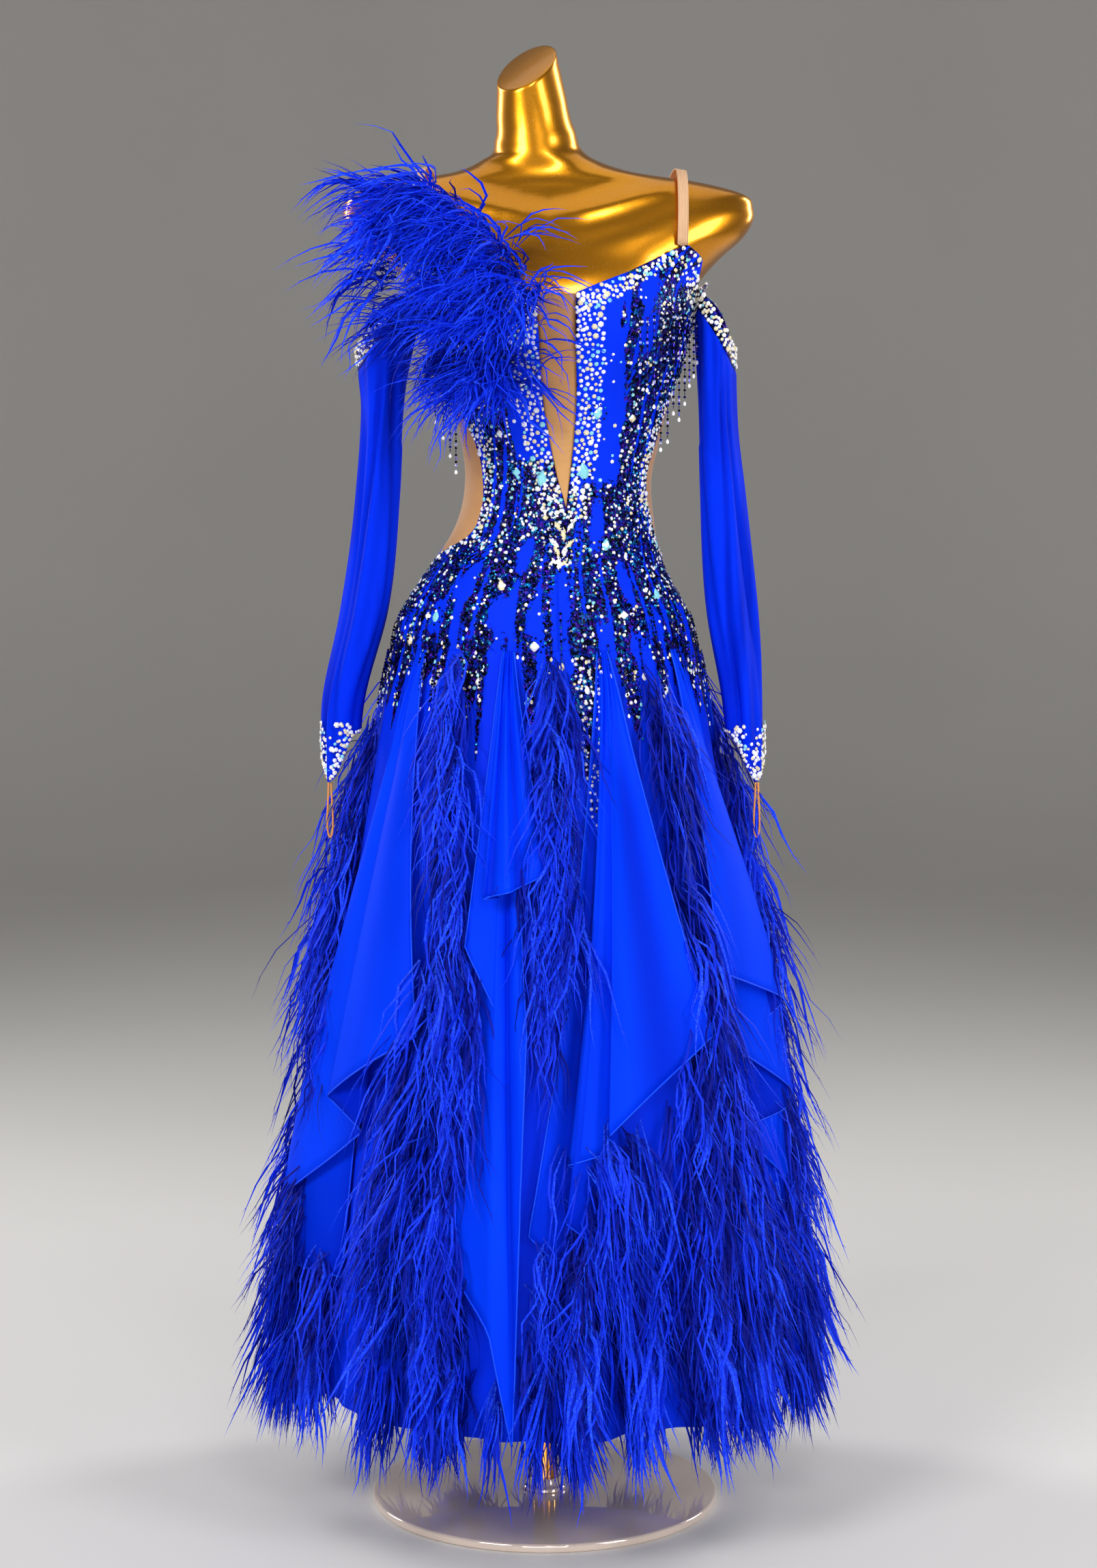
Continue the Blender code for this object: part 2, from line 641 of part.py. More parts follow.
def make_panels():
    """Make the chiffon panels that fall from the hip seam."""
    down = [i / PANEL_ROWS for i in range(PANEL_ROWS + 1)]
    for number, panel in enumerate(PANELS, start=1):

        def point(u, v, out, panel=panel):
            return panel_point(panel, u, v, out)

        cloth_wall(f"chiffon_panel_{number}", "blue_chiffon", point, PANEL_ACROSS, down, PANEL_WALL)


def lock_ring(bm, corners, centre, side, up, width, depth):
    """Make one three-sided ring of a lock, its corners in the root's order."""
    ring = []
    for across, along in corners:
        ring.append(bm.verts.new(centre + side * across * width + up * along * depth))
    return ring


def grow_lock(bm, root, frame, steps, tip):
    """Grow a tapering three-sided lock from a triangle of the strip."""
    middle, side, up, outward = frame
    spans = []
    for vertex in root:
        away = vertex.co - middle
        spans.append((away.dot(side), away.dot(up)))
    widest = max(abs(across) for across, _ in spans)
    tallest = max(abs(along) for _, along in spans)
    corners = [(across / widest, along / tallest) for across, along in spans]
    before = root
    for away, aside, down, width, depth, bend in steps:
        bend = math.radians(bend)
        centre = middle + outward * away + side * aside - up * down
        tilted = up * math.cos(bend) + outward * math.sin(bend)
        ring = lock_ring(bm, corners, centre, side, tilted, width, depth)
        for i in range(3):
            after = (i + 1) % 3
            bm.faces.new((before[i], before[after], ring[after], ring[i]))
        before = ring
    away, aside, down = tip
    point = bm.verts.new(middle + outward * away + side * aside - up * down)
    for i in range(3):
        bm.faces.new((before[i], before[(i + 1) % 3], point))


def feather_strip(name, stations, rows_with_locks, shape_lock):
    """Make a narrow strip along stations and grow two locks from each of the chosen spans.

    A station is a centre on the strip's inner face with its side, up and outward directions. shape_lock takes the
    span's number and the side and returns the lock's steps and tip.
    """
    bm = bmesh.new()
    inner = []
    outer = []
    for centre, side, up, outward in stations:
        half = side * (BOA_WIDTH / 2)
        thick = outward * BOA_THICKNESS
        inner.append((bm.verts.new(centre - half), bm.verts.new(centre + half)))
        outer.append((bm.verts.new(centre - half + thick), bm.verts.new(centre + half + thick)))
    for k in range(len(stations) - 1):
        bm.faces.new((inner[k][0], inner[k][1], inner[k + 1][1], inner[k + 1][0]))
        for edge in (0, 1):
            bm.faces.new((inner[k][edge], outer[k][edge], outer[k + 1][edge], inner[k + 1][edge]))
        above = outer[k]
        below = outer[k + 1]
        right_root = (above[1], below[1], below[0])
        left_root = (above[0], above[1], below[0])
        if k not in rows_with_locks:
            bm.faces.new(right_root)
            bm.faces.new(left_root)
            continue
        _, side, up, outward = stations[k]
        for root, sign in ((right_root, 1.0), (left_root, -1.0)):
            middle = (root[0].co + root[1].co + root[2].co) / 3
            steps, tip = shape_lock(k, sign)
            grow_lock(bm, root, (middle, side, up, outward), steps, tip)
    bm.faces.new((inner[0][0], inner[0][1], outer[0][1], outer[0][0]))
    bm.faces.new((inner[-1][0], inner[-1][1], outer[-1][1], outer[-1][0]))
    return piece_from(bm, name, "blue_feather", smooth=False)


def skirt_frame(azimuth, height, out):
    """Return a centre on the skirt with its side, up and outward directions."""
    centre = skirt_point(azimuth, height, out)
    angle = math.radians(azimuth)
    outward = Vector((math.sin(angle), -math.cos(angle), 0.0))
    side = Vector((math.cos(angle), math.sin(angle), 0.0))
    up = Vector((0.0, 0.0, 1.0))
    return centre, side, up, outward


def make_boas():
    """Make the feather boas that hang between the panels, each on its own strip."""
    top = HIP_SEAM - SEAM_GAP
    for number, (hip, hem, first) in enumerate(BOAS, start=1):
        plain = max(1, round((top - first) / BOA_PLAIN_SPAN))
        heights = [top + (first - top) * i / plain for i in range(plain)]
        with_locks = []
        rise = (first - BOA_BOTTOM) / (BOA_LOCK_ROWS - 1)
        for row in range(BOA_LOCK_ROWS):
            height = first - rise * row
            with_locks.append(len(heights))
            heights += [height, height - BOA_ROOT_HEIGHT]
        stations = []
        for height in heights:
            share = (top - height) / (top - PANEL_SPREAD_BY)
            out = BOA_OUT_AT_TOP if height == top else BOA_OUT
            stations.append(skirt_frame(hip + (hem - hip) * min(1.0, share), height, out))

        def shape_lock(k, sign, heights=heights):
            reach = straight_row(BOA_REACH, heights[k])[0]
            steps = []
            for away, aside, down, width, depth, bend in BOA_LOCK_STEPS:
                steps.append((away * reach, sign * aside * reach, down, width * reach, depth, bend))
            away, aside, down = BOA_LOCK_TIP
            return steps, (away * reach, sign * aside * reach, down)

        feather_strip(f"feather_boa_{number}", stations, with_locks, shape_lock)


def make_shoulder_feathers():
    """Make the cluster on the right shoulder: a strip across the bust, with locks that fan out from it."""
    azimuths, heights = zip(*CLUSTER_STRIP)
    places = [0.0]
    with_locks = []
    for row in range(CLUSTER_LOCK_ROWS):
        start = CLUSTER_FIRST + CLUSTER_RUN * row / CLUSTER_LOCK_ROWS
        with_locks.append(len(places))
        places += [start, start + CLUSTER_ROOT_SHARE * CLUSTER_RUN / CLUSTER_LOCK_ROWS]
    spots = np.linspace(0.0, 1.0, len(azimuths))
    centres = []
    for place in places:
        azimuth = float(np.interp(place, spots, azimuths))
        height = float(np.interp(place, spots, heights))
        centres.append(bodice_point(azimuth, height, CLUSTER_OUT))
    stations = []
    for k, centre in enumerate(centres):
        before = centres[max(0, k - 1)]
        after = centres[min(len(centres) - 1, k + 1)]
        up = (before - after).normalized()
        outward = Vector((centre.x, centre.y, 0.0)).normalized()
        outward = (outward - up * outward.dot(up)).normalized()
        side = up.cross(outward).normalized()
        stations.append((centre, side, up, outward))

    def shape_lock(k, sign):
        share = k / len(places)
        fan = math.radians(CLUSTER_FAN_FROM + (CLUSTER_FAN_TO - CLUSTER_FAN_FROM) * share)
        reach = CLUSTER_REACH + CLUSTER_REACH_MORE * math.sin(CLUSTER_STRAY * k)
        aside = sign * math.sin(fan) * reach
        down = -math.cos(fan) * reach
        steps = [
            (CLUSTER_LIFT * 0.5, aside * 0.25, down * 0.25, CLUSTER_HALF_DEPTH, CLUSTER_HALF_WIDTH, 0.0),
            (CLUSTER_LIFT * 0.9, aside * 0.65, down * 0.65, CLUSTER_HALF_DEPTH, CLUSTER_HALF_WIDTH, 0.0),
        ]
        return steps, (CLUSTER_LIFT, aside, down)

    feather_strip("shoulder_feathers", stations, with_locks, shape_lock)


def main():
    clear_scene()
    make_stand()
    form = make_form()
    bpy.context.view_layer.update()
    form_tree = BVHTree.FromObject(form, bpy.context.evaluated_depsgraph_get())
    make_bodice_fronts()
    make_bodice_back()
    make_mesh_insets()
    make_strap("strap_left", 1, form_tree)
    make_strap("strap_right", -1, form_tree)
    make_sleeve(-1)
    make_sleeve(1)
    make_underskirt()
    make_panels()
    make_boas()
    make_shoulder_feathers()


main()
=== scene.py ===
"""Looks of a ballroom gown on a limbless dress form: royal blue, with chiffon panels and feather trims.

Metres, +Z up. The gown's front faces -Y and the wearer's left is at +X. An azimuth of 0 degrees is the front.
"""

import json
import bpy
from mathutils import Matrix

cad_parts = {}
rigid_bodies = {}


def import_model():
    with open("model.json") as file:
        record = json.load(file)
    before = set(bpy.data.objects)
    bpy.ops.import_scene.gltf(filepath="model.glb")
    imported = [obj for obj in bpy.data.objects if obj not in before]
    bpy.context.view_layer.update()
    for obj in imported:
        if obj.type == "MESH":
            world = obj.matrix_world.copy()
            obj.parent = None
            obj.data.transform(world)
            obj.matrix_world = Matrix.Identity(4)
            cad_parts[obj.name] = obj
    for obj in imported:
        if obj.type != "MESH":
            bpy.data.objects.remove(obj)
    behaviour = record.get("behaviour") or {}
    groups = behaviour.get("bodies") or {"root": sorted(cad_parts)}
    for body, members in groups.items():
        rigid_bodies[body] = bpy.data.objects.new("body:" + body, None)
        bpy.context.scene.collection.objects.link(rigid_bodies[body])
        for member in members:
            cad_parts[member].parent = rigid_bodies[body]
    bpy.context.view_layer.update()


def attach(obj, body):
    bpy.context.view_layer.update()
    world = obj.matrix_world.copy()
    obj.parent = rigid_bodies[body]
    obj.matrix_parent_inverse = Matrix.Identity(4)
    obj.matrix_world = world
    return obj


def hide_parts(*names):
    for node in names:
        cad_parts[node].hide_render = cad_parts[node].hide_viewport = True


bl_info = {
    "name": "Ballroom gown",
    "version": (1, 0, 0),
    "blender": (4, 5, 0),
    "location": "3D View > Sidebar > Gown",
    "description": "Makes a feathered ballroom gown on its dress form, piece by piece",
    "category": "Object",
}

from functools import cache
from math import asin, atan2, copysign, cos, degrees, exp, hypot, pi, radians, sin, sqrt

import bmesh
import bpy
import numpy as np
from mathutils import Euler, Matrix, Vector, noise

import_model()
BODY = "root"
SIDES = ((-1, "right"), (1, "left"))
DOWN = Vector((0.0, 0.0, -1.0))

# The form. Columns: height, half width, front, back, middle, bluntness
FIGURE = (
    (0.8, 0.148, 0.094, 0.11, 0.0, 2.0), (0.84, 0.151, 0.097, 0.114, 0.0, 2.0), (0.88, 0.151, 0.098, 0.115, 0.0, 2.0),
    (0.93, 0.14, 0.092, 0.107, 0.0, 2.0), (0.979, 0.112, 0.082, 0.089, 0.003, 2.0),
    (1.02, 0.096, 0.073, 0.074, 0.011, 2.0), (1.066, 0.09, 0.068, 0.066, 0.014, 2.0),
    (1.103, 0.096, 0.073, 0.066, 0.016, 2.0), (1.14, 0.105, 0.083, 0.072, 0.016, 2.0),
    (1.18, 0.12, 0.098, 0.08, 0.014, 2.0), (1.225, 0.133, 0.108, 0.088, 0.012, 2.0),
    (1.26, 0.145, 0.101, 0.092, 0.01, 2.1), (1.285, 0.17, 0.088, 0.092, 0.006, 2.3),
    (1.31, 0.199, 0.075, 0.087, 0.004, 2.6), (1.335, 0.207, 0.061, 0.078, 0.004, 2.8),
    (1.352, 0.194, 0.05, 0.066, 0.004, 2.8), (1.363, 0.152, 0.043, 0.057, 0.002, 2.6),
    (1.373, 0.092, 0.04, 0.051, -0.001, 2.2), (1.386, 0.056, 0.039, 0.047, -0.006, 2.0),
    (1.412, 0.04, 0.037, 0.043, -0.01, 2.0), (1.442, 0.035, 0.035, 0.038, -0.014, 2.0),
    (1.476, 0.03, 0.034, 0.036, -0.018, 2.0),
)
NECK_CUT_TILT = (0.48, 0.62)
NECK_TILT_FROM = 1.386

# The bodice
BODICE_GAP = 0.004
BODICE_WALL = 0.002
BEADED_CLOTH = 0.0016
MESH_WALL = 0.001
MESH_CLOTH = 0.0006
HIP_SEAM = 0.895
BACK_TOP = 1.240
CUP_DEPTH = 0.010
CUP_AZIMUTH = 33.0
CUP_HEIGHT = 1.222
CUP_SPREAD = (20.0, 0.040)
V_TIP = 1.034
V_TOP = 1.247
# Columns: height, then the azimuths of the V's right and left edge, the fronts' side edges and the back's side edges
BODICE_EDGES = (
    (0.895, 5.3, 5.3, -90.0, 90.0, -90.0, 90.0), (0.955, 5.3, 5.3, -90.0, 90.0, -90.0, 90.0),
    (0.98, 5.3, 5.3, -89.0, 89.0, -91.0, 91.0), (1.006, 5.3, 5.3, -56.0, 78.0, -99.0, 96.0),
    (1.034, 5.3, 5.3, -50.5, 71.0, -103.0, 99.0), (1.066, -0.8, 6.8, -52.5, 68.0, -104.0, 100.0),
    (1.103, -6.4, 7.6, -58.0, 71.0, -102.0, 98.0), (1.147, -9.2, 8.2, -76.0, 80.0, -96.0, 94.0),
    (1.175, -8.6, 8.0, -89.0, 89.0, -91.0, 91.0), (1.2, -8.0, 7.6, -90.0, 90.0, -90.0, 90.0),
)
# Columns: across, top
NECKLINE = ((0.0, 1.247), (0.22, 1.268), (0.42, 1.296), (0.62, 1.283), (0.82, 1.254), (1.0, 1.236))

# Straps
STRAP_WIDTH = 0.0105
STRAP_THICKNESS = 0.0012
STRAP_AZIMUTH = 40.0
STRAP_LIFT = 0.0040
STRAP_LIFT_POWER = 0.3
STRAP_OUT = 0.0052
STRAP_CENTRE_HEIGHT = 1.24
STRAP_PLACE = 0.42
STRAP_BOW = 0.0130

# Sleeves. Columns: height, middle, half width, half depth, fold
SLEEVE_TOP = 1.2105
SLEEVE_TOP_RISE = 0.0155
SLEEVE_CAP = 0.036
CAP_CLEAR = 0.0085
CAP_FROM = 1.205
SLEEVE_CUFF = 0.806
SLEEVE_LENGTH = SLEEVE_TOP - SLEEVE_CUFF
CUFF_POINT_DROP = 0.049
CUFF_POINT = radians(54.0)
BAND_SHARE = 0.020 / SLEEVE_LENGTH
BAND_CLOTH = 0.0014
SLEEVE_WALL = 0.0015
SLEEVE_FOLDS = 5
SLEEVE_RIGHT = (
    (0.757, 0.2085, 0.0195, 0.03, 0.001), (0.836, 0.2065, 0.0205, 0.032, 0.0012), (0.93, 0.185, 0.024, 0.036, 0.002),
    (1.05, 0.17, 0.0225, 0.04, 0.0022), (1.15, 0.164, 0.023, 0.044, 0.0014), (1.226, 0.1609, 0.0334, 0.048, 0.0),
)
SLEEVE_LEFT = (
    (0.757, 0.206, 0.0195, 0.03, 0.001), (0.836, 0.203, 0.0205, 0.032, 0.0012), (0.93, 0.191, 0.025, 0.036, 0.002),
    (1.05, 0.1805, 0.0225, 0.04, 0.0022), (1.15, 0.1735, 0.0195, 0.044, 0.0014), (1.226, 0.1729, 0.0212, 0.048, 0.0),
)
# Long creases of the sleeves. Columns: angle, how far it drifts, depth
CREASES = ((0.55, 0.30, 0.7), (1.50, -0.30, 1.0), (2.40, 0.25, 0.8), (4.2, 0.3, 0.6))
LOOP_RADIUS = 0.001
LOOP_DROP = 0.056
LOOP_HALF_WIDTH = 0.0052
LOOP_ROOT_HALF_WIDTH = 0.0013
LOOP_ROOT_GAP = 0.0006
LOOP_POINTS = 36

# The skirt. Columns: height, half width, front, back
SKIRT_HEM = 0.140
SKIRT_WALL = 0.0012
SKIRT_WAVES = 9
SKIRT_WAVE_AT_HEM = 0.006
SKIRT = (
    (0.14, 0.25, 0.248, 0.25), (0.3, 0.238, 0.234, 0.236), (0.45, 0.222, 0.212, 0.214), (0.6, 0.202, 0.184, 0.188),
    (0.72, 0.184, 0.156, 0.164), (0.8, 0.171, 0.132, 0.144), (0.86, 0.162, 0.113, 0.13),
)
# Lobes of the underskirt's hem. Columns: azimuth, half width in degrees, drop below the hem
SKIRT_LOBES = ((-13.6, 11.0, 0.006), (10.7, 9.0, 0.008), (42.0, 12.0, 0.004), (-44.0, 12.0, 0.004))

# Chiffon panels. Columns: top left, top right
SEAM_GAP = 0.0003
PANEL_OUT_AT_TOP = 0.0019
PANEL_TOPS = (
    (-58, -46), (-18, -8), (17, 26), (51, 62), (92, 101), (134, 143), (174, 185), (213, 223), (250, 261),
)
# The panels' hems from left to right. Columns: azimuth, height, distance from the skirt
PANEL_HEMS = (
    ((-58, 0.267, 0.006), (-85, 0.266, 0.024), (-62, 0.352, 0.012), (-85, 0.316, 0.032), (-49, 0.421, 0.018),
     (-60, 0.451, 0.034), (-31.5, 0.524, 0.028)),
    ((-20.5, 0.612, 0.024), (-11.5, 0.545, 0.01), (-13, 0.44, 0.008), (-28.5, 0.325, 0.018), (-22, 0.3, 0.008),
     (-14.5, 0.262, 0.016), (-11.6, 0.246, 0.022), (-6.6, 0.136, 0.02), (-4.2, 0.53, 0.024)),
    ((-3.6, 0.336, 0.006), (1.6, 0.314, 0.005), (13.8, 0.318, 0.01), (4.4, 0.353, 0.02), (15.0, 0.378, 0.012),
     (5.2, 0.407, 0.024), (17.5, 0.418, 0.014), (13.8, 0.434, 0.03), (42, 0.521, 0.028)),
    ((49, 0.579, 0.026), (82, 0.533, 0.034), (54, 0.505, 0.018), (86, 0.428, 0.03), (57, 0.417, 0.014),
     (87, 0.311, 0.024), (61.5, 0.353, 0.006)),
    ((93, 0.33, 0.008), (122, 0.345, 0.024), (100, 0.4, 0.012), (121, 0.44, 0.03), (104, 0.47, 0.016),
     (95, 0.545, 0.028)),
    ((134, 0.3, 0.008), (162, 0.33, 0.024), (140, 0.38, 0.012), (161, 0.43, 0.03), (146, 0.45, 0.016),
     (136, 0.535, 0.028)),
    ((174, 0.56, 0.024), (186, 0.5, 0.01), (176, 0.33, 0.018), (184, 0.27, 0.01), (190, 0.142, 0.02),
     (193, 0.42, 0.024), (202, 0.51, 0.016)),
    ((214, 0.53, 0.028), (238, 0.48, 0.016), (217, 0.45, 0.03), (240, 0.39, 0.012), (219, 0.35, 0.024),
     (240, 0.3, 0.008)),
    ((252, 0.545, 0.028), (271, 0.48, 0.016), (253, 0.445, 0.03), (273, 0.4, 0.012), (256, 0.35, 0.024),
     (272, 0.33, 0.008)),
)
# A second, shorter flap that lies over the panel at the left of the middle
FLAP_HEM = ((-12.5, 0.658, 0.012), (-15.3, 0.660, 0.034), (-8.0, 0.668, 0.036), (1.2, 0.686, 0.030))
# Each panel's top is pleated into this share of its stretch of the seam.
PLEATED = 0.45
CHIFFON_SHARE = 0.7
PANEL_COLUMNS = 57
PANEL_ROWS = 41
METRES_IN_DEGREE_AT_HEM = 0.0042

# Feather boas. Columns: azimuth at the hip, azimuth at the hem, height of the first feathers
BOAS = (
    (-33, -26, 0.88), (1.5, 7.5, 0.866), (36, 47, 0.86), (96, 87, 0.8), (116, 128, 0.865), (156, 168, 0.865),
    (197, 208, 0.865), (236, 246, 0.865), (264, 279, 0.8),
)
BOA_LOWEST_ROOT = 0.150
BOA_STRAIGHT_BELOW = 0.450
BOA_WIDEST = 19.0
MOST_TRIES = 60000
# How far a boa's strand reaches outwards, as a share of its length
STRAND_REACH = 0.34
# Columns: height, half the spread of the roots in degrees, strand length in metres
BOA_SPREAD = (
    (0.15, 19.0, 0.095), (0.22, 19.0, 0.125), (0.38, 17.0, 0.13), (0.45, 14.0, 0.135), (0.52, 10.5, 0.135),
    (0.7, 6.0, 0.13), (0.82, 3.0, 0.12), (0.88, 0.6, 0.105),
)
# Where the feathers part at the hem. Columns: azimuth, half width in degrees
HEM_GAPS = (
    (-15.0, 3.0), (-7.0, 2.2), (13.5, 3.4), (-31.0, 1.4), (2.5, 1.0), (28.0, 1.8), (44.0, 1.8), (-48.0, 1.8),
    (66.0, 2.2), (-70.0, 2.2), (92.0, 3.4), (118.0, 3.4), (141.0, 3.0), (166.0, 3.4), (190.0, 3.4), (214.0, 3.0),
    (240.0, 3.4), (266.0, 3.4),
)


# Looks of each finish, as sRGB hex: the real material and its colour, and colours of painted shade, highlight and
# reflection
HEX = {
    "crepe": "#0432F2", "crepe_shade": "#0216AC", "chiffon": "#0440FF", "chiffon_shade": "#001CC0",
    "hem_thread": "#1C5CFF", "feather": "#0E36FF", "feather_dark": "#020E86", "feather_light": "#2C60FF",
    "mesh": "#DCA563", "mesh_shade": "#B47C48", "elastic": "#F0C498", "gold": "#EFA01C", "gold_tube": "#E8B060",
    "steel": "#F2DFD0", "beads_dark": "#02051E", "elastic_shade": "#B9805C", "loop": "#FFA444",
    "gold_deep": "#B8700C", "gold_light": "#FFCE60", "steel_dust": "#C4B4A8", "beads_blue": "#0822A0",
    "beads_violet": "#3A1690", "beads_aqua": "#1484C4", "stone": "#FFFFFF", "stone_gold": "#F2DC8A",
    "stone_aqua": "#8EE2EE", "stone_shade": "#C4CCEC", "floor": "#DCDAD7", "floor_shade": "#CFCDCA",
}


def linear(hex_colour):
    """Turn an sRGB hex value into the linear colour that shaders take."""
    channels = [int(hex_colour[i : i + 2], 16) / 255.0 for i in (1, 3, 5)]
    flat = [c / 12.92 if c <= 0.04045 else ((c + 0.055) / 1.055) ** 2.4 for c in channels]
    return (*flat, 1.0)


class Profile:
    """A table whose first column rises, read along smooth curves through its rows."""

    def __init__(self, rows):
        self.rows = np.array(rows, dtype=float)
        self.heights = self.rows[:, 0]
        self.slopes = np.gradient(self.rows[:, 1:], self.heights, axis=0)

    def at(self, height):
        """Return the other columns' values at this height."""
        heights = self.heights
        height = min(max(height, heights[0]), heights[-1])
        index = min(int(np.searchsorted(heights, height, side="right")) - 1, len(heights) - 2)
        span = heights[index + 1] - heights[index]
        t = (height - heights[index]) / span
        start, end = self.rows[index : index + 2, 1:]
        leave, arrive = self.slopes[index : index + 2]
        return (
            (2 * t**3 - 3 * t**2 + 1) * start
            + (t**3 - 2 * t**2 + t) * leave * span
            + (3 * t**2 - 2 * t**3) * end
            + (t**3 - t**2) * arrive * span
        )


def straight_row(table, height):
    """Read a table whose first column rises, along straight lines between its rows."""
    rows = np.array(table, dtype=float)
    return [float(np.interp(height, rows[:, 0], rows[:, i])) for i in range(1, rows.shape[1])]


def bump(distance, spread):
    """Return 1 at no distance, and less the further off, in a bell shape."""
    return exp(-((distance / spread) ** 2))


def eased(value, low, high):
    """Return 0 below low, 1 above high, and a smooth step between them."""
    t = min(1.0, max(0.0, (value - low) / (high - low)))
    return t * t * (3.0 - 2.0 * t)


def signed(azimuth):
    """Return the same azimuth between -180 and 180."""
    return (azimuth + 180.0) % 360.0 - 180.0


FIGURE_PROFILE = Profile(FIGURE)
EDGE_PROFILE = Profile(BODICE_EDGES)
SLEEVE_PROFILES = {-1: Profile(SLEEVE_RIGHT), 1: Profile(SLEEVE_LEFT)}


def on_oval(azimuth, height, half_width, front, back, middle, bluntness, out):
    """Return the point at this azimuth on an oval, moved out."""
    angle = radians(azimuth)
    power = 2.0 / bluntness
    across, forward = (copysign(abs(v) ** power, v) for v in (sin(angle), cos(angle)))
    depth = front if forward > 0 else back
    return Vector((middle + (half_width + out) * across, -(depth + out) * forward, height))


def figure_point(azimuth, height, out):
    """Return a point on the form, or at a distance outside it."""
    return on_oval(azimuth, height, *FIGURE_PROFILE.at(height), out)


def bodice_point(azimuth, height, out=0.0):
    """Return a point on the bodice's outer face, over the bust's cups, or at a distance outside it."""
    sideways, upright = CUP_SPREAD
    cups = sum(bump(azimuth - side * CUP_AZIMUTH, sideways) for side in (1, -1))
    cup = CUP_DEPTH * bump(height - CUP_HEIGHT, upright) * cups
    return figure_point(azimuth, height, BODICE_GAP + BODICE_WALL + cup + out)


def skirt_profile():
    """Return the underskirt's profile: its own table, and the hips at the seam."""
    hips = FIGURE_PROFILE.at(HIP_SEAM)[:3] + BODICE_GAP + SKIRT_WALL
    return Profile((*SKIRT, (HIP_SEAM, *hips)))


SKIRT_PROFILE = skirt_profile()


def skirt_point(azimuth, height, out=0.0):
    """Return a point on the underskirt's outer face, or at a distance outside it."""
    fall = (HIP_SEAM - height) / (HIP_SEAM - SKIRT_HEM)
    wave = SKIRT_WAVE_AT_HEM * fall * cos(radians(SKIRT_WAVES * azimuth))
    return on_oval(azimuth, height, *SKIRT_PROFILE.at(height), 0.0, 2.0, out + wave)


def gown_point(azimuth, height, out=0.0):
    """Return a point on the bodice or, below the hip, on the underskirt."""
    return (bodice_point if height >= HIP_SEAM else skirt_point)(azimuth, height, out)


def outward_at(point, azimuth, height):
    """Return the outward direction of a surface that point() gives."""
    right = point(azimuth + 0.4, height) - point(azimuth - 0.4, height)
    up = point(azimuth, height + 0.0015) - point(azimuth, height - 0.0015)
    return right.cross(up).normalized()


def gown_outward(azimuth, height):
    """Return the outward direction of the bodice or, below the hip, of the underskirt."""
    return outward_at(bodice_point if height >= HIP_SEAM else skirt_point, azimuth, height)


def edges_of(side, height):
    """Return the azimuths of one side's V edge, side edge and back edge."""
    return EDGE_PROFILE.at(height)[0 if side < 0 else 1 :: 2]


def neckline(across):
    """Return the height of the front's top edge, across from the V to the side."""
    return float(np.interp(across, *zip(*NECKLINE)))


# --- Making meshes

def link(obj):
    """Put a new object into the scene."""
    bpy.context.scene.collection.objects.link(obj)
    return obj


def object_from(bm, name, material):
    """Turn a finished bmesh into a named object."""
    mesh = bpy.data.meshes.new(name)
    bm.to_mesh(mesh)
    bm.free()
    mesh.shade_smooth()
    mesh.materials.append(material)
    return link(bpy.data.objects.new(name, mesh))


def settle(obj, slot, *nodes):
    """Fasten a piece to the body, and let it stand for CAD nodes, which it hides."""
    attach(obj, BODY)
    if nodes:
        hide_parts(*nodes)
    return obj


# A sheet's flat size, which lays out its cloth coordinates, is taken as no smaller than this.
SMALLEST_CUT = 0.011


def path_length(points):
    """Return the length of a line through points."""
    return sum((b - a).length for a, b in zip(points, points[1:]))


def cut_size(rows):
    """Return the width and length of the flat cloth that a grid of points was cut from."""
    ways = (rows, list(zip(*rows)))
    return tuple(max(sum(map(path_length, lines)) / len(lines), SMALLEST_CUT) for lines in ways)


def cloth_from_grid(name, rows, material, thickness, wrap=False, **kept):
    """Make a thin shell from a grid of points whose outer face looks outwards.

    kept gives a number for each point, which the cloth keeps as an attribute.
    """
    bm = bmesh.new()
    uv = bm.loops.layers.uv.new("cloth")
    verts = [[bm.verts.new(p) for p in row] for row in rows]
    columns = len(rows[0])
    spans = columns if wrap else columns - 1
    width, length = cut_size(rows)
    for r, (low, high) in enumerate(zip(verts, verts[1:])):
        for c in range(spans):
            after = (c + 1) % columns
            face = bm.faces.new((low[c], low[after], high[after], high[c]))
            corners = ((c, r), (c + 1, r), (c + 1, r + 1), (c, r + 1))
            for loop, (i, j) in zip(face.loops, corners):
                loop[uv].uv = (i / spans * width, j / (len(rows) - 1) * length)
    obj = object_from(bm, name, material)
    for label, values in kept.items():
        layer = obj.data.attributes.new(label, "FLOAT", "POINT")
        layer.data.foreach_set("value", [v for row in values for v in row])
    shell = obj.modifiers.new("Cloth thickness", "SOLIDIFY")
    shell.thickness = thickness
    shell.offset = -1.0
    return obj


def sheet_of(name, rows, material, thickness, slot, nodes, held, rests_on, fan=False, wrap=False, extras=(), **kept):
    """Make one sheet of cloth, and fasten it."""
    piece = settle(cloth_from_grid(name, rows, material, thickness, wrap, **kept), slot, *nodes)
    return piece


def circle(radius, count, start=0.0):
    """Return points round a circle."""
    angles = [start + 2 * pi * k / count for k in range(count)]
    return [(radius * cos(angle), radius * sin(angle)) for angle in angles]


def skin(bm, rings, caps=(0, 1), flip=False):
    """Join rings of vertices with faces, and close the first ring, the last or both. flip turns the faces round."""
    for low, high in zip(rings, rings[1:]):
        for k, first in enumerate(low):
            after = (k + 1) % len(low)
            corners = (first, low[after], high[after], high[k])
            bm.faces.new((first, *corners[:0:-1]) if flip else corners)
    for end in caps:
        ring = rings[-end]
        bm.faces.new(ring if bool(end) != flip else ring[::-1])


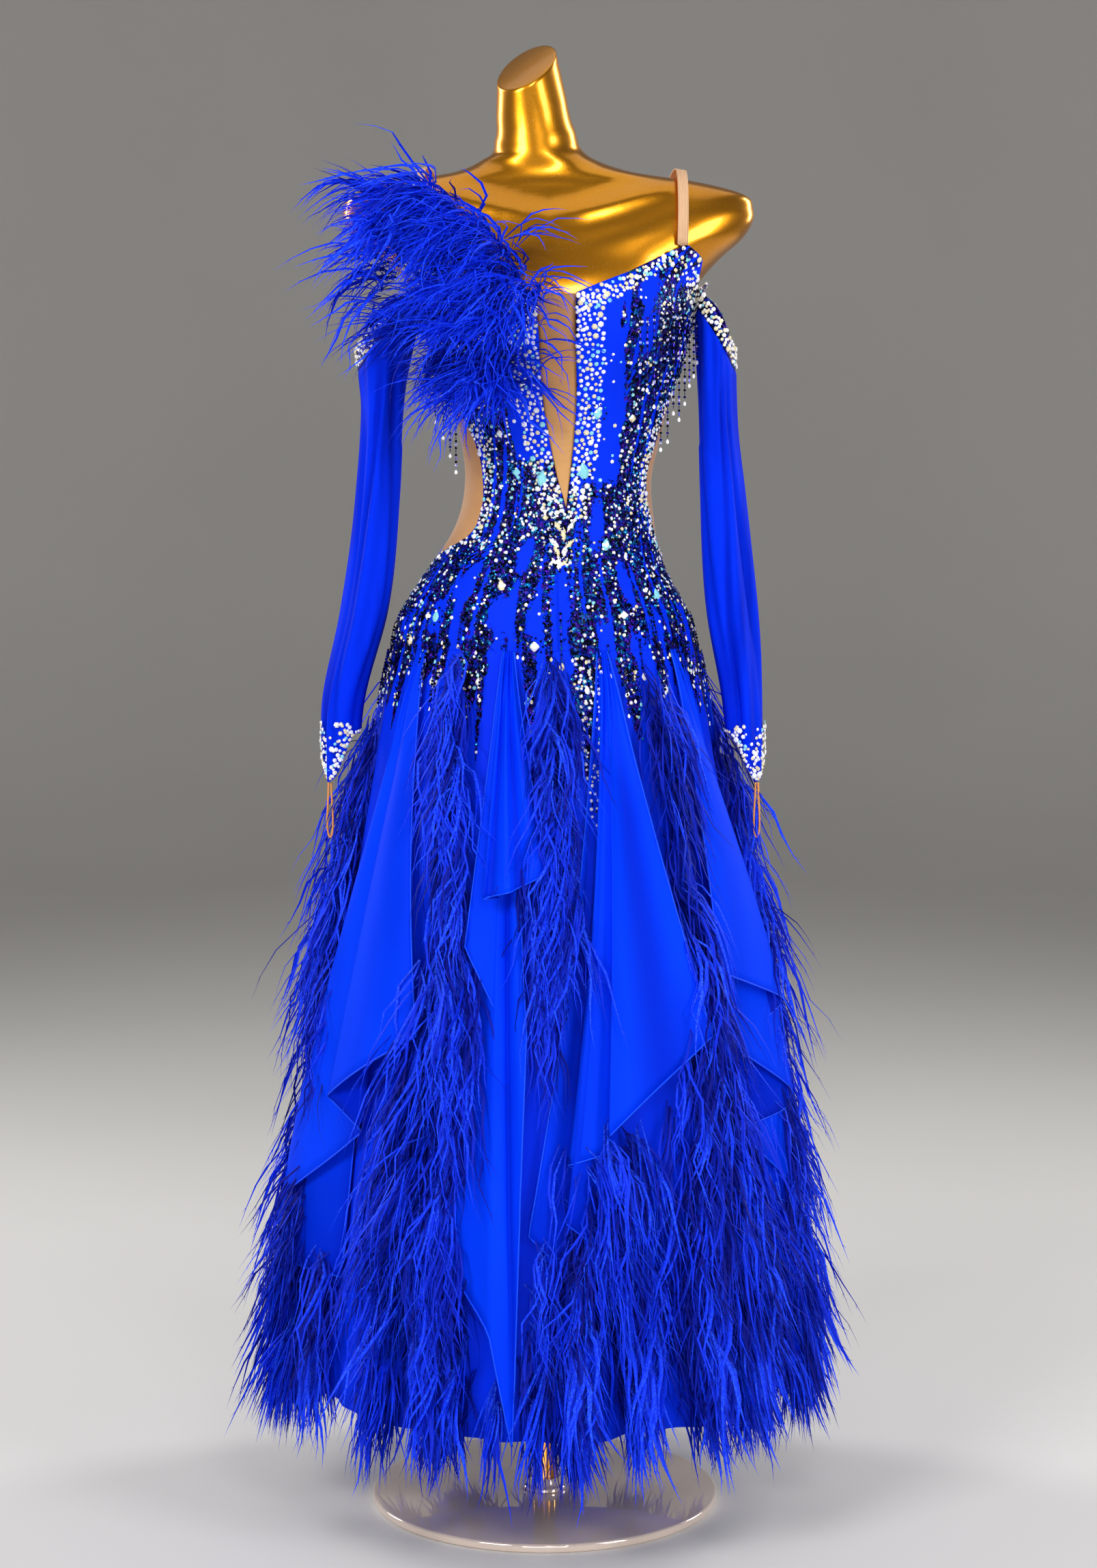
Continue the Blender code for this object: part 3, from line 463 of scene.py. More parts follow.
def turned(name, profile, sides, material, caps=(0, 1), flip=False):
    """Turn a profile of radius and height round the upright axis."""
    bm = bmesh.new()
    rings = [[bm.verts.new((x, y, height)) for x, y in circle(radius, sides)] for radius, height in profile]
    skin(bm, rings, caps, flip)
    obj = object_from(bm, name, material)
    obj.data.set_sharp_from_angle(angle=radians(35))
    return obj


def tube_along(bm, points, radius):
    """Add a thin six-sided tube along points to a bmesh."""
    rings = []
    for i, point in enumerate(points):
        along = (points[min(i + 1, len(points) - 1)] - points[max(i - 1, 0)]).normalized()
        side = along.cross(Vector((0.0, 0.0, 1.0)))
        if side.length < 0.1:
            side = along.cross(Vector((1.0, 0.0, 0.0)))
        side.normalize()
        up = side.cross(along)
        rings.append([bm.verts.new(point + (side * x + up * y) * radius) for x, y in circle(1.0, 6)])
    skin(bm, rings, flip=True)


# --- Materials

def add_node(tree, kind, inputs=None, **settings):
    """Add a node with its settings, and set its inputs, or link them to outputs or to other nodes' first output."""
    node = tree.nodes.new(kind)
    for name, value in settings.items():
        setattr(node, name, value)
    for name, value in (inputs or {}).items():
        if isinstance(value, bpy.types.Node):
            value = value.outputs[0]
        if isinstance(value, bpy.types.NodeSocket):
            tree.links.new(value, node.inputs[name])
        else:
            node.inputs[name].default_value = value
    return node


def dye(key):
    """Return one of the gown's colours: the user's choice, or else its own hex value."""
    return tuple(getattr(bpy.context.scene.gown_colours, key, linear(HEX[key])))


def span(value, low, high, start=0.0, end=1.0):
    """Return the inputs that move a value from one range to another."""
    return {"Value": value, "From Min": low, "From Max": high, "To Min": start, "To Max": end}


class Look:
    """A material in the making: its tree, its one shader, and the colour laid on so far."""

    def __init__(self, name, colour, shader):
        self.material = bpy.data.materials.new(name)
        self.material.use_nodes = True
        self.tree = self.material.node_tree
        self.tree.nodes.clear()
        self.shader = self.add("BsdfPrincipled", shader)
        self.add("OutputMaterial", {"Surface": self.shader.outputs["BSDF"]})
        self.colour = dye(colour)

    def add(self, kind, inputs=None, **settings):
        """Add a shader node to this material's tree."""
        return add_node(self.tree, f"ShaderNode{kind}", inputs, **settings)

    def texture(self, kind, scale, inputs, threads=False, **settings):
        """Add a texture in the object's coordinates, or along the cloth's threads. scale may differ by axis."""
        if threads:
            place = self.add("UVMap", uv_map="cloth")
        else:
            place = self.add("TexCoord").outputs["Object"]
        if isinstance(scale, tuple):
            place, scale = self.add("Mapping", {"Vector": place, "Scale": scale}), 1.0
        return self.add(f"Tex{kind}", {"Vector": place, "Scale": scale, **inputs}, **settings)

    def layer(self, colour, share, *ranges):
        """Lay a colour over the one so far, where the share says. ranges moves the share, as in span()."""
        over = dye(colour) if isinstance(colour, str) else colour
        thickness = self.add("MapRange", span(share, *ranges)) if ranges else share
        self.colour = self.add("Mix", {0: thickness, 6: self.colour, 7: over}, data_type="RGBA").outputs[2]

    def drive(self, socket, value, *ranges):
        """Let a value drive one of the shader's inputs. ranges moves the value, as in span()."""
        result = self.add("MapRange", span(value, *ranges)).outputs[0]
        self.tree.links.new(result, self.shader.inputs[socket])

    def done(self, height=None, strength=0.0, distance=0.0, **settings):
        """Join the colour and the relief to the shader, and return the material."""
        self.tree.links.new(self.colour, self.shader.inputs["Base Color"])
        if height is not None:
            relief = {"Height": height, "Strength": strength, "Distance": distance}
            self.tree.links.new(self.add("Bump", relief, **settings).outputs[0], self.shader.inputs["Normal"])
        return self.material


def cloth_gloss(roughness, sheen_roughness):
    """Return the shader's settings for dyed polyester cloth: almost no gloss, and a faint bloom."""
    return {
        "Roughness": roughness,
        "Specular IOR Level": 0.02,
        "Sheen Weight": 0.03,
        "Sheen Roughness": sheen_roughness,
        "Sheen Tint": dye("hem_thread"),
    }


@cache
def make_crepe():
    """Stretch polyester crepe, woven from twisted yarn: matt, with a pebbled grain and a soft bloom at the edges."""
    look = Look("polyester_crepe_woven", "crepe", cloth_gloss(0.58, 0.45))
    # The real grain is 0.4 mm across, and is drawn at 1.2 mm so that it shows.
    grain = look.texture("Noise", 820.0, {"Detail": 2.0})
    # Painted shade: long dark streaks down the cloth, like the shade of long folds.
    look.layer("crepe_shade", look.texture("Noise", (46.0, 46.0, 2.6), {"Detail": 2.0}), 0.48, 0.72, 0.0, 0.75)
    # Painted shade in the creases, where the kept "fold" numbers are high.
    look.layer("crepe_shade", look.add("Attribute", attribute_name="fold").outputs["Fac"], 0.0, 1.0, 0.0, 0.85)
    look.layer("crepe_shade", look.texture("Noise", 9.0, {"Detail": 3.0}), 0.35, 0.75, 0.0, 0.30)
    look.layer("crepe_shade", grain, 0.35, 0.65, 0.10, 0.0)
    look.drive("Roughness", grain, 0.3, 0.7, 0.50, 0.66)
    return look.done(grain, 0.22, 0.0006)


@cache
def make_chiffon():
    """Polyester chiffon, plain woven from fine yarn: smooth and even, with a silky edge to its folds."""
    look = Look("polyester_chiffon_woven", "chiffon", cloth_gloss(0.46, 0.30))
    # The threads lie 0.25 mm apart, and are drawn at 1.1 mm so that they show.
    threads = [
        look.texture("Wave", 285.0, {"Distortion": 0.4}, threads=True, bands_direction=way).outputs["Fac"]
        for way in "XY"
    ]
    weave = look.add("Math", dict(enumerate(threads)), operation="MULTIPLY")
    # Painted shade: long dark streaks down the panels, like the shade of long folds.
    look.layer("chiffon_shade", look.texture("Noise", (14.0, 14.0, 2.2), {"Detail": 2.0}), 0.40, 0.75, 0.0, 0.45)
    # Painted shade in the fold valleys and under turned-back folds, where the kept "fold" numbers are high.
    look.layer("chiffon_shade", look.add("Attribute", attribute_name="fold").outputs["Fac"], 0.0, 1.0, 0.0, 0.85)
    look.layer("chiffon_shade", weave, 0.0, 1.0, 0.10, 0.0)
    return look.done(weave, 0.10, 0.0003)


@cache
def make_hem_thread():
    """Rolled hem stitched in nylon thread: tight, and lighter and glossier than the cloth it binds."""
    look = Look("nylon_thread_stitched", "chiffon", {"Roughness": 0.40, "Specular IOR Level": 0.12})
    # Stitches lie 1.5 mm apart.
    stitches = look.texture("Wave", 210.0, {"Distortion": 1.0}, bands_direction="Z").outputs["Fac"]
    look.layer("hem_thread", stitches)
    return look.done(stitches, 0.4, 0.0004)


@cache
def make_feather():
    """Dyed ostrich feather: soft barbs with a velvety bloom. Painted shade darkens the roots and the strands deep in
    a boa, so the tips are paler, and painted highlight flecks the outer strands.
    """
    look = Look("ostrich_feather_dyed", "feather_dark", {
        "Roughness": 0.55, "Specular IOR Level": 0.10, "Sheen Weight": 0.20, "Sheen Roughness": 0.35,
        "Sheen Tint": dye("feather_light"),
    })
    tint = look.add("Attribute", attribute_name="tint").outputs["Fac"]
    # Barbules make flecks about 2 mm long; on the outer strands their pale colour is painted highlight.
    flecks = look.texture("Noise", 450.0, {"Detail": 1.0})
    # Painted shade: strands with a low tint lie deep in a boa or a plume, and keep the dark shade colour.
    look.layer("feather", tint, 0.10, 0.80)
    # Painted shade near each strand's root.
    look.layer("feather_dark", look.add("Attribute", attribute_name="along").outputs["Fac"], 0.0, 0.30, 0.75, 0.0)
    # Painted highlight: pale flecks on the outer, lit strands.
    pale, fleck = (look.add("MapRange", span(*ranges)) for ranges in ((tint, 0.55, 1.0), (flecks, 0.40, 0.70)))
    look.layer("feather_light", look.add("Math", {0: pale, 1: fleck}, operation="MULTIPLY"))
    return look.done(flecks, 0.35, 0.0008)


@cache
def make_beaded():
    """Crepe under sequins and seed beads: dark, wet-looking scales that flash blue-green and violet, with bare cloth
    between them. The numbers kept as "beading" say where they are."""
    look = Look("sequin_embroidery_sewn", "beads_dark", {"Specular IOR Level": 0.04})
    # Sequins are 3 mm across.
    scales = look.texture("Voronoi", 330.0, {}, feature="F1")
    edges = look.add("MapRange", span(look.texture("Noise", 260.0, {"Detail": 2.0}), 0.3, 0.7, -0.28, 0.28))
    beading = look.add("Attribute", attribute_name="beading").outputs["Fac"]
    ragged = look.add("Math", {0: beading, 1: edges}, operation="ADD")
    where = look.add("MapRange", span(ragged, 0.42, 0.58))
    one, two, three = look.add("SeparateColor", {"Color": scales.outputs["Color"]}).outputs
    # Painted glints: the film's iridescent hues are painted as fixed blue, violet and aqua on random scales.
    look.layer("beads_blue", one, 0.45, 0.75)
    look.layer("beads_violet", two, 0.72, 0.80)
    green = look.add("MapRange", span(three, 0.70, 0.80))
    broad = look.add("MapRange", span(look.texture("Noise", 48.0, {"Detail": 2.0}), 0.50, 0.66))
    look.layer("beads_aqua", look.add("Math", {0: green, 1: broad}, operation="MULTIPLY"))
    beads, look.colour = look.colour, dye("crepe")
    look.layer(beads, where)
    look.drive("Roughness", where, 0.0, 1.0, 0.58, 0.22)
    look.drive("Metallic", where, 0.0, 1.0, 0.0, 0.55)
    domes = look.add("Math", {0: scales.outputs["Distance"], 1: where}, operation="MULTIPLY")
    return look.done(domes, 0.85, 0.0016, invert=True)


@cache
def make_sequin():
    """Loose sequins and seed beads: pressed film with a dark metal back that flashes blue-green and violet."""
    look = Look("sequin_film_pressed", "beads_dark", {"Metallic": 0.75, "Roughness": 0.20})
    tint = look.add("Attribute", attribute_name="tint").outputs["Fac"]
    # Painted glints: each piece's tint gives it a fixed blue, violet or aqua flash, standing for its film's
    # iridescence.
    for colour, low, high in (("beads_blue", 0.35, 0.55), ("beads_violet", 0.66, 0.70), ("beads_aqua", 0.82, 0.86)):
        look.layer(colour, tint, low, high)
    return look.done(look.texture("Noise", 700.0, {"Detail": 1.0}), 0.25, 0.0005)


@cache
def make_rhinestone():
    """Foil-backed rhinestones of cut and coated glass: white flashes, with some pale gold and some aqua."""
    # Painted highlight: the stones' plain white stands in for the flash of their foil.
    look = Look("rhinestone_glass_cut", "stone", {
        "Roughness": 0.10, "IOR": 1.6, "Coat Weight": 0.8, "Coat Roughness": 0.04,
    })
    tint = look.add("Attribute", attribute_name="tint").outputs["Fac"]
    look.layer("stone_gold", tint, 0.55, 0.70)
    look.layer("stone_aqua", tint, 0.80, 0.88)
    sparkle = look.texture("Noise", 900.0, {"Detail": 0.0})
    # Painted shade: some facets are darkened, like facets turned from the lamps.
    look.layer("stone_shade", sparkle, 0.60, 0.85, 0.0, 0.30)
    look.drive("Roughness", sparkle, 0.3, 0.7, 0.04, 0.18)
    return look.done()


@cache
def make_mesh():
    """Nude power mesh, knitted in nylon: a skin-coloured net with tiny holes and a slight gloss."""
    look = Look("nylon_mesh_knitted", "mesh", {
        "Roughness": 0.48, "Specular IOR Level": 0.4, "Sheen Weight": 0.25, "Sheen Roughness": 0.4,
    })
    # The net's holes are 0.7 mm across, and are drawn at 1.3 mm so that they show.
    holes = look.texture("Voronoi", 760.0, {"Randomness": 0.25}, feature="F1")
    level = look.add("SeparateXYZ", {"Vector": look.add("TexCoord").outputs["Object"]}).outputs[2]
    look.layer("mesh_shade", look.texture("Noise", 16.0, {"Detail": 3.0}), 0.35, 0.75, 0.0, 0.55)
    # Painted shade: the net darkens towards the top, over the form's shaded bust hollow.
    look.layer("mesh_shade", level, 1.08, 1.19, 0.0, 0.85)
    look.layer("mesh_shade", holes, 0.15, 0.45, 0.30, 0.0)
    return look.done(holes, 0.25, 0.0004)


@cache
def make_elastic():
    """Covered elastic, woven flat with ribs along its length: peach, with a soft satin gloss."""
    look = Look("covered_elastic_woven", "elastic", {"Roughness": 0.42, "Specular IOR Level": 0.45})
    # The ribs are 1.7 mm apart, and the picks across them 0.8 mm.
    ribs = look.texture("Wave", 185.0, {"Distortion": 0.2}, threads=True, bands_direction="X").outputs["Fac"]
    picks = look.texture("Wave", 390.0, {"Distortion": 0.5}, threads=True, bands_direction="Y").outputs["Fac"]
    both = look.add("Math", {0: picks, 1: 0.25, 2: ribs}, operation="MULTIPLY_ADD")
    # Painted shade in the grooves between the ribs and the picks.
    look.layer("elastic_shade", both, 0.0, 1.2, 0.55, 0.0)
    return look.done(both, 0.6, 0.0008)


@cache
def make_loop_elastic():
    """Round elastic cord, braided over rubber: orange peach, with fine slanting braid."""
    look = Look("elastic_cord_braided", "loop", {"Roughness": 0.45, "Specular IOR Level": 0.45})
    # The braid turns every 1.2 mm.
    braid = look.texture("Wave", 185.0, {"Distortion": 0.3}, bands_direction="DIAGONAL").outputs["Fac"]
    # Painted shade in the grooves of the braid.
    look.layer("elastic_shade", braid, 0.0, 1.0, 0.6, 0.0)
    return look.done(braid, 0.5, 0.0004)


@cache
def make_gold_paint():
    """Glass-fibre form sprayed with gold lacquer: a bright metal look under a clear coat, with faint ripples."""
    look = Look("gold_lacquer_sprayed", "gold", {
        "Metallic": 1.0, "Roughness": 0.27, "Coat Weight": 0.45, "Coat Roughness": 0.10,
    })
    broad = look.texture("Noise", 5.0, {"Detail": 3.0})
    # Painted reflection: broad blotches of darker gold stand in for a darker studio mirrored in the lacquer; the same
    # noise varies the gloss.
    look.layer("gold_deep", broad, 0.35, 0.65, 0.1, 0.8)
    # Metal flakes are 0.1 mm, and are drawn at 1 mm so that they show; their paler colour is a painted glint.
    look.layer("gold_light", look.texture("Noise", 1000.0, {"Detail": 0.0}), 0.60, 0.75, 0.0, 0.25)
    look.drive("Roughness", broad, 0.3, 0.7, 0.24, 0.34)
    return look.done(look.texture("Noise", 55.0, {"Detail": 2.0}), 0.05, 0.002)


@cache
def make_gold_tube():
    """Anodised tube, drawn and polished: gold, with fine streaks along its length."""
    look = Look("gold_tube_anodised", "gold_tube", {"Metallic": 1.0, "Roughness": 0.16})
    streaks = look.texture("Noise", (900.0, 900.0, 4.0), {"Detail": 2.0})
    look.layer("gold", streaks, 0.3, 0.7)
    look.drive("Roughness", streaks, 0.3, 0.7, 0.10, 0.24)
    return look.done()


@cache
def make_steel():
    """Polished steel plate: a mirror with faint wiping marks and a little dust, over a pale painted reflection."""
    # Painted reflection: the plate is mostly diffuse, and its pale rosy colour stands in for the studio it would
    # mirror.
    look = Look("steel_plate_polished", "steel", {
        "Metallic": 0.30, "Roughness": 0.03, "Coat Weight": 0.7, "Coat Roughness": 0.03,
    })
    look.layer("steel_dust", look.texture("Noise", 420.0, {"Detail": 1.0}), 0.66, 0.74, 0.0, 0.30)
    wipes = look.texture("Noise", 14.0, {"Detail": 4.0, "Distortion": 1.5})
    look.drive("Roughness", wipes, 0.35, 0.70, 0.02, 0.05)
    return look.done()


@cache
def make_floor():
    """Painted studio floor: pale and matt."""
    look = Look("studio_floor_painted", "floor", {"Roughness": 0.85, "Specular IOR Level": 0.2})
    look.layer("floor_shade", look.texture("Noise", 1.3, {"Detail": 3.0}), 0.3, 0.7, 0.0, 0.25)
    return look.done()


# --- Placing many copies of small shapes

class Places:
    """The places where copies of small shapes go: position, turn, size, which shape, and tint."""

    def __init__(self):
        self.rows = []

    def add(self, position, turn, size, kind=0, tint=0.0):
        """Add a place. turn is a rotation matrix from the shape's axes to the object's."""
        self.rows.append((tuple(position), tuple(turn.to_euler()), size, kind, tint))

    def add_on(self, position, outward, size, kind=0, tint=0.0, spin=0.0, lean=0.0):
        """Add a place on a surface, with the shape's Z axis outwards and its Y axis as near to upwards as can be."""
        side = Vector((0.0, 0.0, 1.0)).cross(outward)
        if side.length < 0.05:
            side = Vector((1.0, 0.0, 0.0))
        side.normalize()
        up = outward.cross(side)
        turn = Matrix((side, up, outward)).transposed()
        turn = turn @ Matrix.Rotation(spin, 3, "Z") @ Matrix.Rotation(lean, 3, "X")
        self.add(position, turn, size, kind, tint)

    def on_gown(self, azimuth, height, out, *looks):
        """Add a place at a distance outside the bodice or the underskirt. looks goes on to add_on()."""
        self.add_on(gown_point(azimuth, height, out), gown_outward(azimuth, height), *looks)


def placing_tree():
    tree = bpy.data.node_groups.new("place_shapes", "GeometryNodeTree")
    sockets = [
        tree.interface.new_socket(name, in_out=way, socket_type=f"NodeSocket{kind}")
        for name, way, kind in (
            ("Geometry", "INPUT", "Geometry"),
            ("Shapes", "INPUT", "Collection"),
            ("Size", "INPUT", "Float"),
            ("Finish", "INPUT", "Material"),
            ("Geometry", "OUTPUT", "Geometry"),
        )
    ]
    start = add_node(tree, "NodeGroupInput")

    def stored(name, kind):
        node = add_node(tree, "GeometryNodeInputNamedAttribute", {"Name": name}, data_type=kind)
        return next(s for s in node.outputs if s.enabled and s.name == "Attribute")

    kit = add_node(tree, "GeometryNodeCollectionInfo", {
        "Collection": start.outputs["Shapes"],
        "Separate Children": True,
        "Reset Children": True,
    })
    copies = add_node(tree, "GeometryNodeInstanceOnPoints", {
        "Points": start.outputs["Geometry"],
        "Instance": kit,
        "Pick Instance": True,
        "Instance Index": stored("kind", "INT"),
        "Rotation": add_node(tree, "FunctionNodeEulerToRotation", {0: stored("turn", "FLOAT_VECTOR")}),
        "Scale": add_node(
            tree, "ShaderNodeMath", {0: stored("size", "FLOAT"), 1: start.outputs["Size"]}, operation="MULTIPLY"
        ),
    })
    real = add_node(tree, "GeometryNodeRealizeInstances", {"Geometry": copies})
    done = add_node(tree, "GeometryNodeSetMaterial", {"Geometry": real, "Material": start.outputs["Finish"]})
    add_node(tree, "NodeGroupOutput", {0: done})
    return tree, [socket.identifier for socket in sockets[1:4]]


def place_kit(name, kit, places, material, size=1.0):
    shelf = bpy.data.collections.new(f"{name}_shapes")
    bpy.context.scene.collection.children.link(shelf)
    for number, bm in enumerate(kit):
        mesh = bpy.data.meshes.new(f"{number:02d}_{name}")
        bm.to_mesh(mesh)
        bm.free()
        shelf.objects.link(bpy.data.objects.new(mesh.name, mesh))
    positions, turns, *numbers = zip(*places.rows)
    points = bpy.data.meshes.new(f"{name}_points")
    points.from_pydata(positions, [], [])
    layer = points.attributes.new("turn", "FLOAT_VECTOR", "POINT")
    layer.data.foreach_set("vector", [v for turn in turns for v in turn])
    for label, kind, values in zip(("size", "kind", "tint"), ("FLOAT", "INT", "FLOAT"), numbers):
        points.attributes.new(label, kind, "POINT").data.foreach_set("value", values)
    holder = link(bpy.data.objects.new(f"{name}_holder", points))
    tree, keys = placing_tree()
    placing = holder.modifiers.new("Place shapes", "NODES")
    placing.node_group = tree
    for key, value in zip(keys, (shelf, size, material)):
        placing[key] = value
    graph = bpy.context.evaluated_depsgraph_get()
    shown = holder.evaluated_get(graph)
    mesh = bpy.data.meshes.new_from_object(shown, preserve_all_data_layers=True, depsgraph=graph)
    mesh.name = name
    holder.modifiers.remove(placing)
    for obj in (holder, *shelf.objects):
        bpy.data.objects.remove(obj)
    bpy.data.collections.remove(shelf)
    bpy.data.node_groups.remove(tree)
    if not mesh.polygons:
        raise RuntimeError(f"{name} came out empty")
    return link(bpy.data.objects.new(name, mesh))


# --- Small shapes for the kits

# Widths as shares of a strand's length
STRAND_WIDTH = 0.021
HEM_STRAND_WIDTH = 0.036
CROWN_STRAND_WIDTH = 0.029
STRAND_SEGMENTS = 5


def strand_shape(start, end, curve, twist, sway, width=STRAND_WIDTH):
    """Make one feather strand of unit length: it leaves along X and droops towards -Z.

    start and end are angles from straight down, curve how soon it droops, twist the turn of its flat side, and sway
    how far it wanders sideways.
    """
    bm = bmesh.new()
    along = bm.verts.layers.float.new("along")

    def vertex(place, t):
        vert = bm.verts.new(place)
        vert[along] = t
        return vert

    point, rings = Vector(), []
    for i in range(STRAND_SEGMENTS):
        t = i / STRAND_SEGMENTS
        angle = radians(end + (start - end) * exp(-t / curve))
        aside = sway * cos((2.0 + 2.2 * abs(sway)) * pi * t)
        heading = Vector((sin(angle), aside, -cos(angle))).normalized()
        flat = Matrix.Rotation(radians(twist * (0.4 + t)), 3, heading) @ Vector((0.0, 1.0, 0.0))
        flat = (flat - heading * flat.dot(heading)).normalized()
        half = 0.5 * width * (0.75 + 0.5 * sin(pi * min(1.0, t * 1.3))) * (1.0 - t**2.5)
        places = (point - flat * half, point + heading.cross(flat) * half * 0.7, point + flat * half)
        rings.append(([vertex(place, t) for place in places], heading, flat))
        point = point + heading / STRAND_SEGMENTS
    tip = vertex(point, 1.0)
    for k in (0, 1):
        for (low, _, _), (high, _, _) in zip(rings, rings[1:]):
            bm.faces.new((low[k], low[k + 1], high[k + 1], high[k]))
        bm.faces.new((*rings[-1][0][k : k + 2], tip))
    for sign, i in ((1, 1), (-1, 2), (1, 4)):
        ring, heading, flat = rings[i]
        edge = ring[1 + sign]
        away = (flat * sign * 0.42 + heading).normalized()
        barb = [vertex(edge.co + reach, i / STRAND_SEGMENTS) for reach in (heading * 0.012, away * 0.062)]
        bm.faces.new((edge, *barb))
    for face in bm.faces:
        face.smooth = True
    return bm


def cut_stone(outline, height, table=0.52):
    """Make a cut stone from an outline: a girdle, a ring of facets, and a table a share of the girdle's size."""
    bm = bmesh.new()
    levels = ((1.0, 0.0), (table, height))
    skin(bm, [[bm.verts.new((x * share, y * share, z)) for x, y in outline] for share, z in levels], (1,))
    return bm


def kit_of_stones():
    """Return the four cuts of stone: six-sided, teardrop with its point upwards, square on one corner, and leaf."""
    drop = [(0.66 * x * (1.0 - 0.55 * max(0.0, 2 * y)), y) for x, y in circle(0.5, 12, -pi / 2)]
    corners = [pi * k / 2 + turn for k in range(4) for turn in (-0.16, 0.16)]
    diamond = [(0.5 * cos(angle), 0.5 * sin(angle)) for angle in corners]
    half_leaf = [(0.0, -0.5), (0.15, -0.22), (0.19, 0.0), (0.15, 0.22)]
    leaf = half_leaf + [(-x, -y) for x, y in half_leaf]
    hexagon = cut_stone(circle(0.5, 6), 0.26, 0.54)
    return [hexagon, cut_stone(drop, 0.13), cut_stone(diamond, 0.20), cut_stone(leaf, 0.10)]


def sequin_disc():
    """Make a cupped sequin of unit width."""
    bm = bmesh.new()
    rim = [bm.verts.new((x, y, 0.12)) for x, y in circle(0.5, 6)]
    middle = bm.verts.new((0.0, 0.0, 0.0))
    for k in range(6):
        bm.faces.new((middle, rim[k], rim[(k + 1) % 6]))
    return bm


def bugle_bead():
    """Make a long bead of unit length that lies along Y."""
    bm = bmesh.new()
    corners = [(0.16 * cos(angle), 0.16 + 0.16 * sin(angle)) for angle in (0.4, 1.97, 3.54, 5.11)]
    skin(bm, [[bm.verts.new((x, y, z)) for x, z in corners] for y in (-0.5, 0.5)], flip=True)
    return bm


def round_bead():
    """Make a round bead of unit width with a few facets."""
    bm = bmesh.new()
    bmesh.ops.create_icosphere(bm, subdivisions=1, radius=0.5)
    return bm


# Columns: the strand's angle from straight down at its root and at its tip, curve, twist, sway
STRANDS = (
    (34.0, 0.0, 0.4, 15.0, 0.18), (24.0, 10.0, 0.5, -25.0, -0.3), (44.0, -8.0, 0.34, 35.0, 0.34),
    (30.0, 16.0, 0.42, -10.0, 0.42), (16.0, -10.0, 0.6, 20.0, -0.24), (40.0, 20.0, 0.36, -40.0, 0.5),
    (26.0, -14.0, 0.5, 5.0, -0.46), (52.0, 4.0, 0.36, 50.0, 0.26),
)
# Shorter, broader strands for the hem's pointed bunches
HEM_STRANDS = (
    (22.0, 2.0, 0.5, 20.0, 0.2), (14.0, -6.0, 0.5, -30.0, -0.26), (30.0, 10.0, 0.4, 40.0, 0.34),
    (8.0, 12.0, 0.6, 0.0, -0.16),
)
# Strands that stand out at the skirt's sides
STRAY_STRANDS = (
    (74.0, 6.0, 0.42, 20.0, 0.3), (84.0, 14.0, 0.4, -30.0, -0.36), (64.0, -16.0, 0.5, 10.0, 0.26),
)
# Strands of the shoulder's cluster
CROWN_STRANDS = (
    (104.0, 30.0, 0.5, 20.0, 0.22), (92.0, 14.0, 0.55, -30.0, -0.32), (122.0, 48.0, 0.45, 45.0, 0.4),
    (84.0, 2.0, 0.6, -10.0, 0.2), (112.0, -10.0, 0.55, 60.0, -0.44), (76.0, 30.0, 0.45, 10.0, 0.55),
    (130.0, 20.0, 0.5, -50.0, -0.26), (96.0, 62.0, 0.4, 30.0, 0.46),
)


# --- What a user would change

def colour_of(key, name, description):
    """Return a colour property whose default is one of the hex values."""
    return bpy.props.FloatVectorProperty(
        name=name, description=description, subtype="COLOR", size=4, min=0.0, max=1.0, default=linear(HEX[key])
    )


class GownColours(bpy.types.PropertyGroup):
    """Colours of the gown and its stand."""

    crepe: colour_of("crepe", "Crepe", "Colour of the sleeves, the bodice and the underskirt")
    # Painted shade: besides the grain, the crepe's shade colour darkens its streaks and creases.
    crepe_shade: colour_of("crepe_shade", "Crepe shade", "Darker colour in the crepe's grain")
    chiffon: colour_of("chiffon", "Chiffon", "Colour of the skirt's panels")
    # Painted shade: besides the gaps in the weave, the chiffon's shade colour darkens its folds.
    chiffon_shade: colour_of("chiffon_shade", "Chiffon shade", "Darker colour between the chiffon's threads")
    hem_thread: colour_of("hem_thread", "Hem thread", "Colour of the stitched rolled hems")
    feather: colour_of("feather", "Feather", "Main colour of the feathers")
    # Painted shade and highlight: the root colour is the shade on deep strands and near roots, and the tip colour
    # also flecks the outer strands.
    feather_dark: colour_of("feather_dark", "Feather root", "Colour of the feathers near their roots")
    feather_light: colour_of("feather_light", "Feather tip", "Palest colour among the feathers")
    # Painted highlight: the stones' white stands in for the flash of their foil.
    stone: colour_of("stone", "Stones", "Main colour of the rhinestones")
    mesh: colour_of("mesh", "Mesh", "Colour of the nude mesh")
    # Painted shade: besides showing in the holes, the mesh's shade colour darkens the net over the bust.
    mesh_shade: colour_of("mesh_shade", "Mesh shade", "Colour in the mesh's holes")
    elastic: colour_of("elastic", "Elastic", "Colour of the straps and finger loops")
    gold: colour_of("gold", "Form", "Colour of the form's lacquer")
    gold_tube: colour_of("gold_tube", "Pole", "Colour of the pole")
    # Painted reflection: the base's colour stands in for the studio that its steel would mirror.
    steel: colour_of("steel", "Base", "Colour of the polished base")
    floor: colour_of("floor", "Floor", "Colour of the studio's floor")


def size_choice(name, description, usual, least, most, kind="Float", **more):
    """Return a property for a size, a share or a count."""
    prop = getattr(bpy.props, f"{kind}Property")
    return prop(name=name, description=description, default=usual, min=least, max=most, **more)


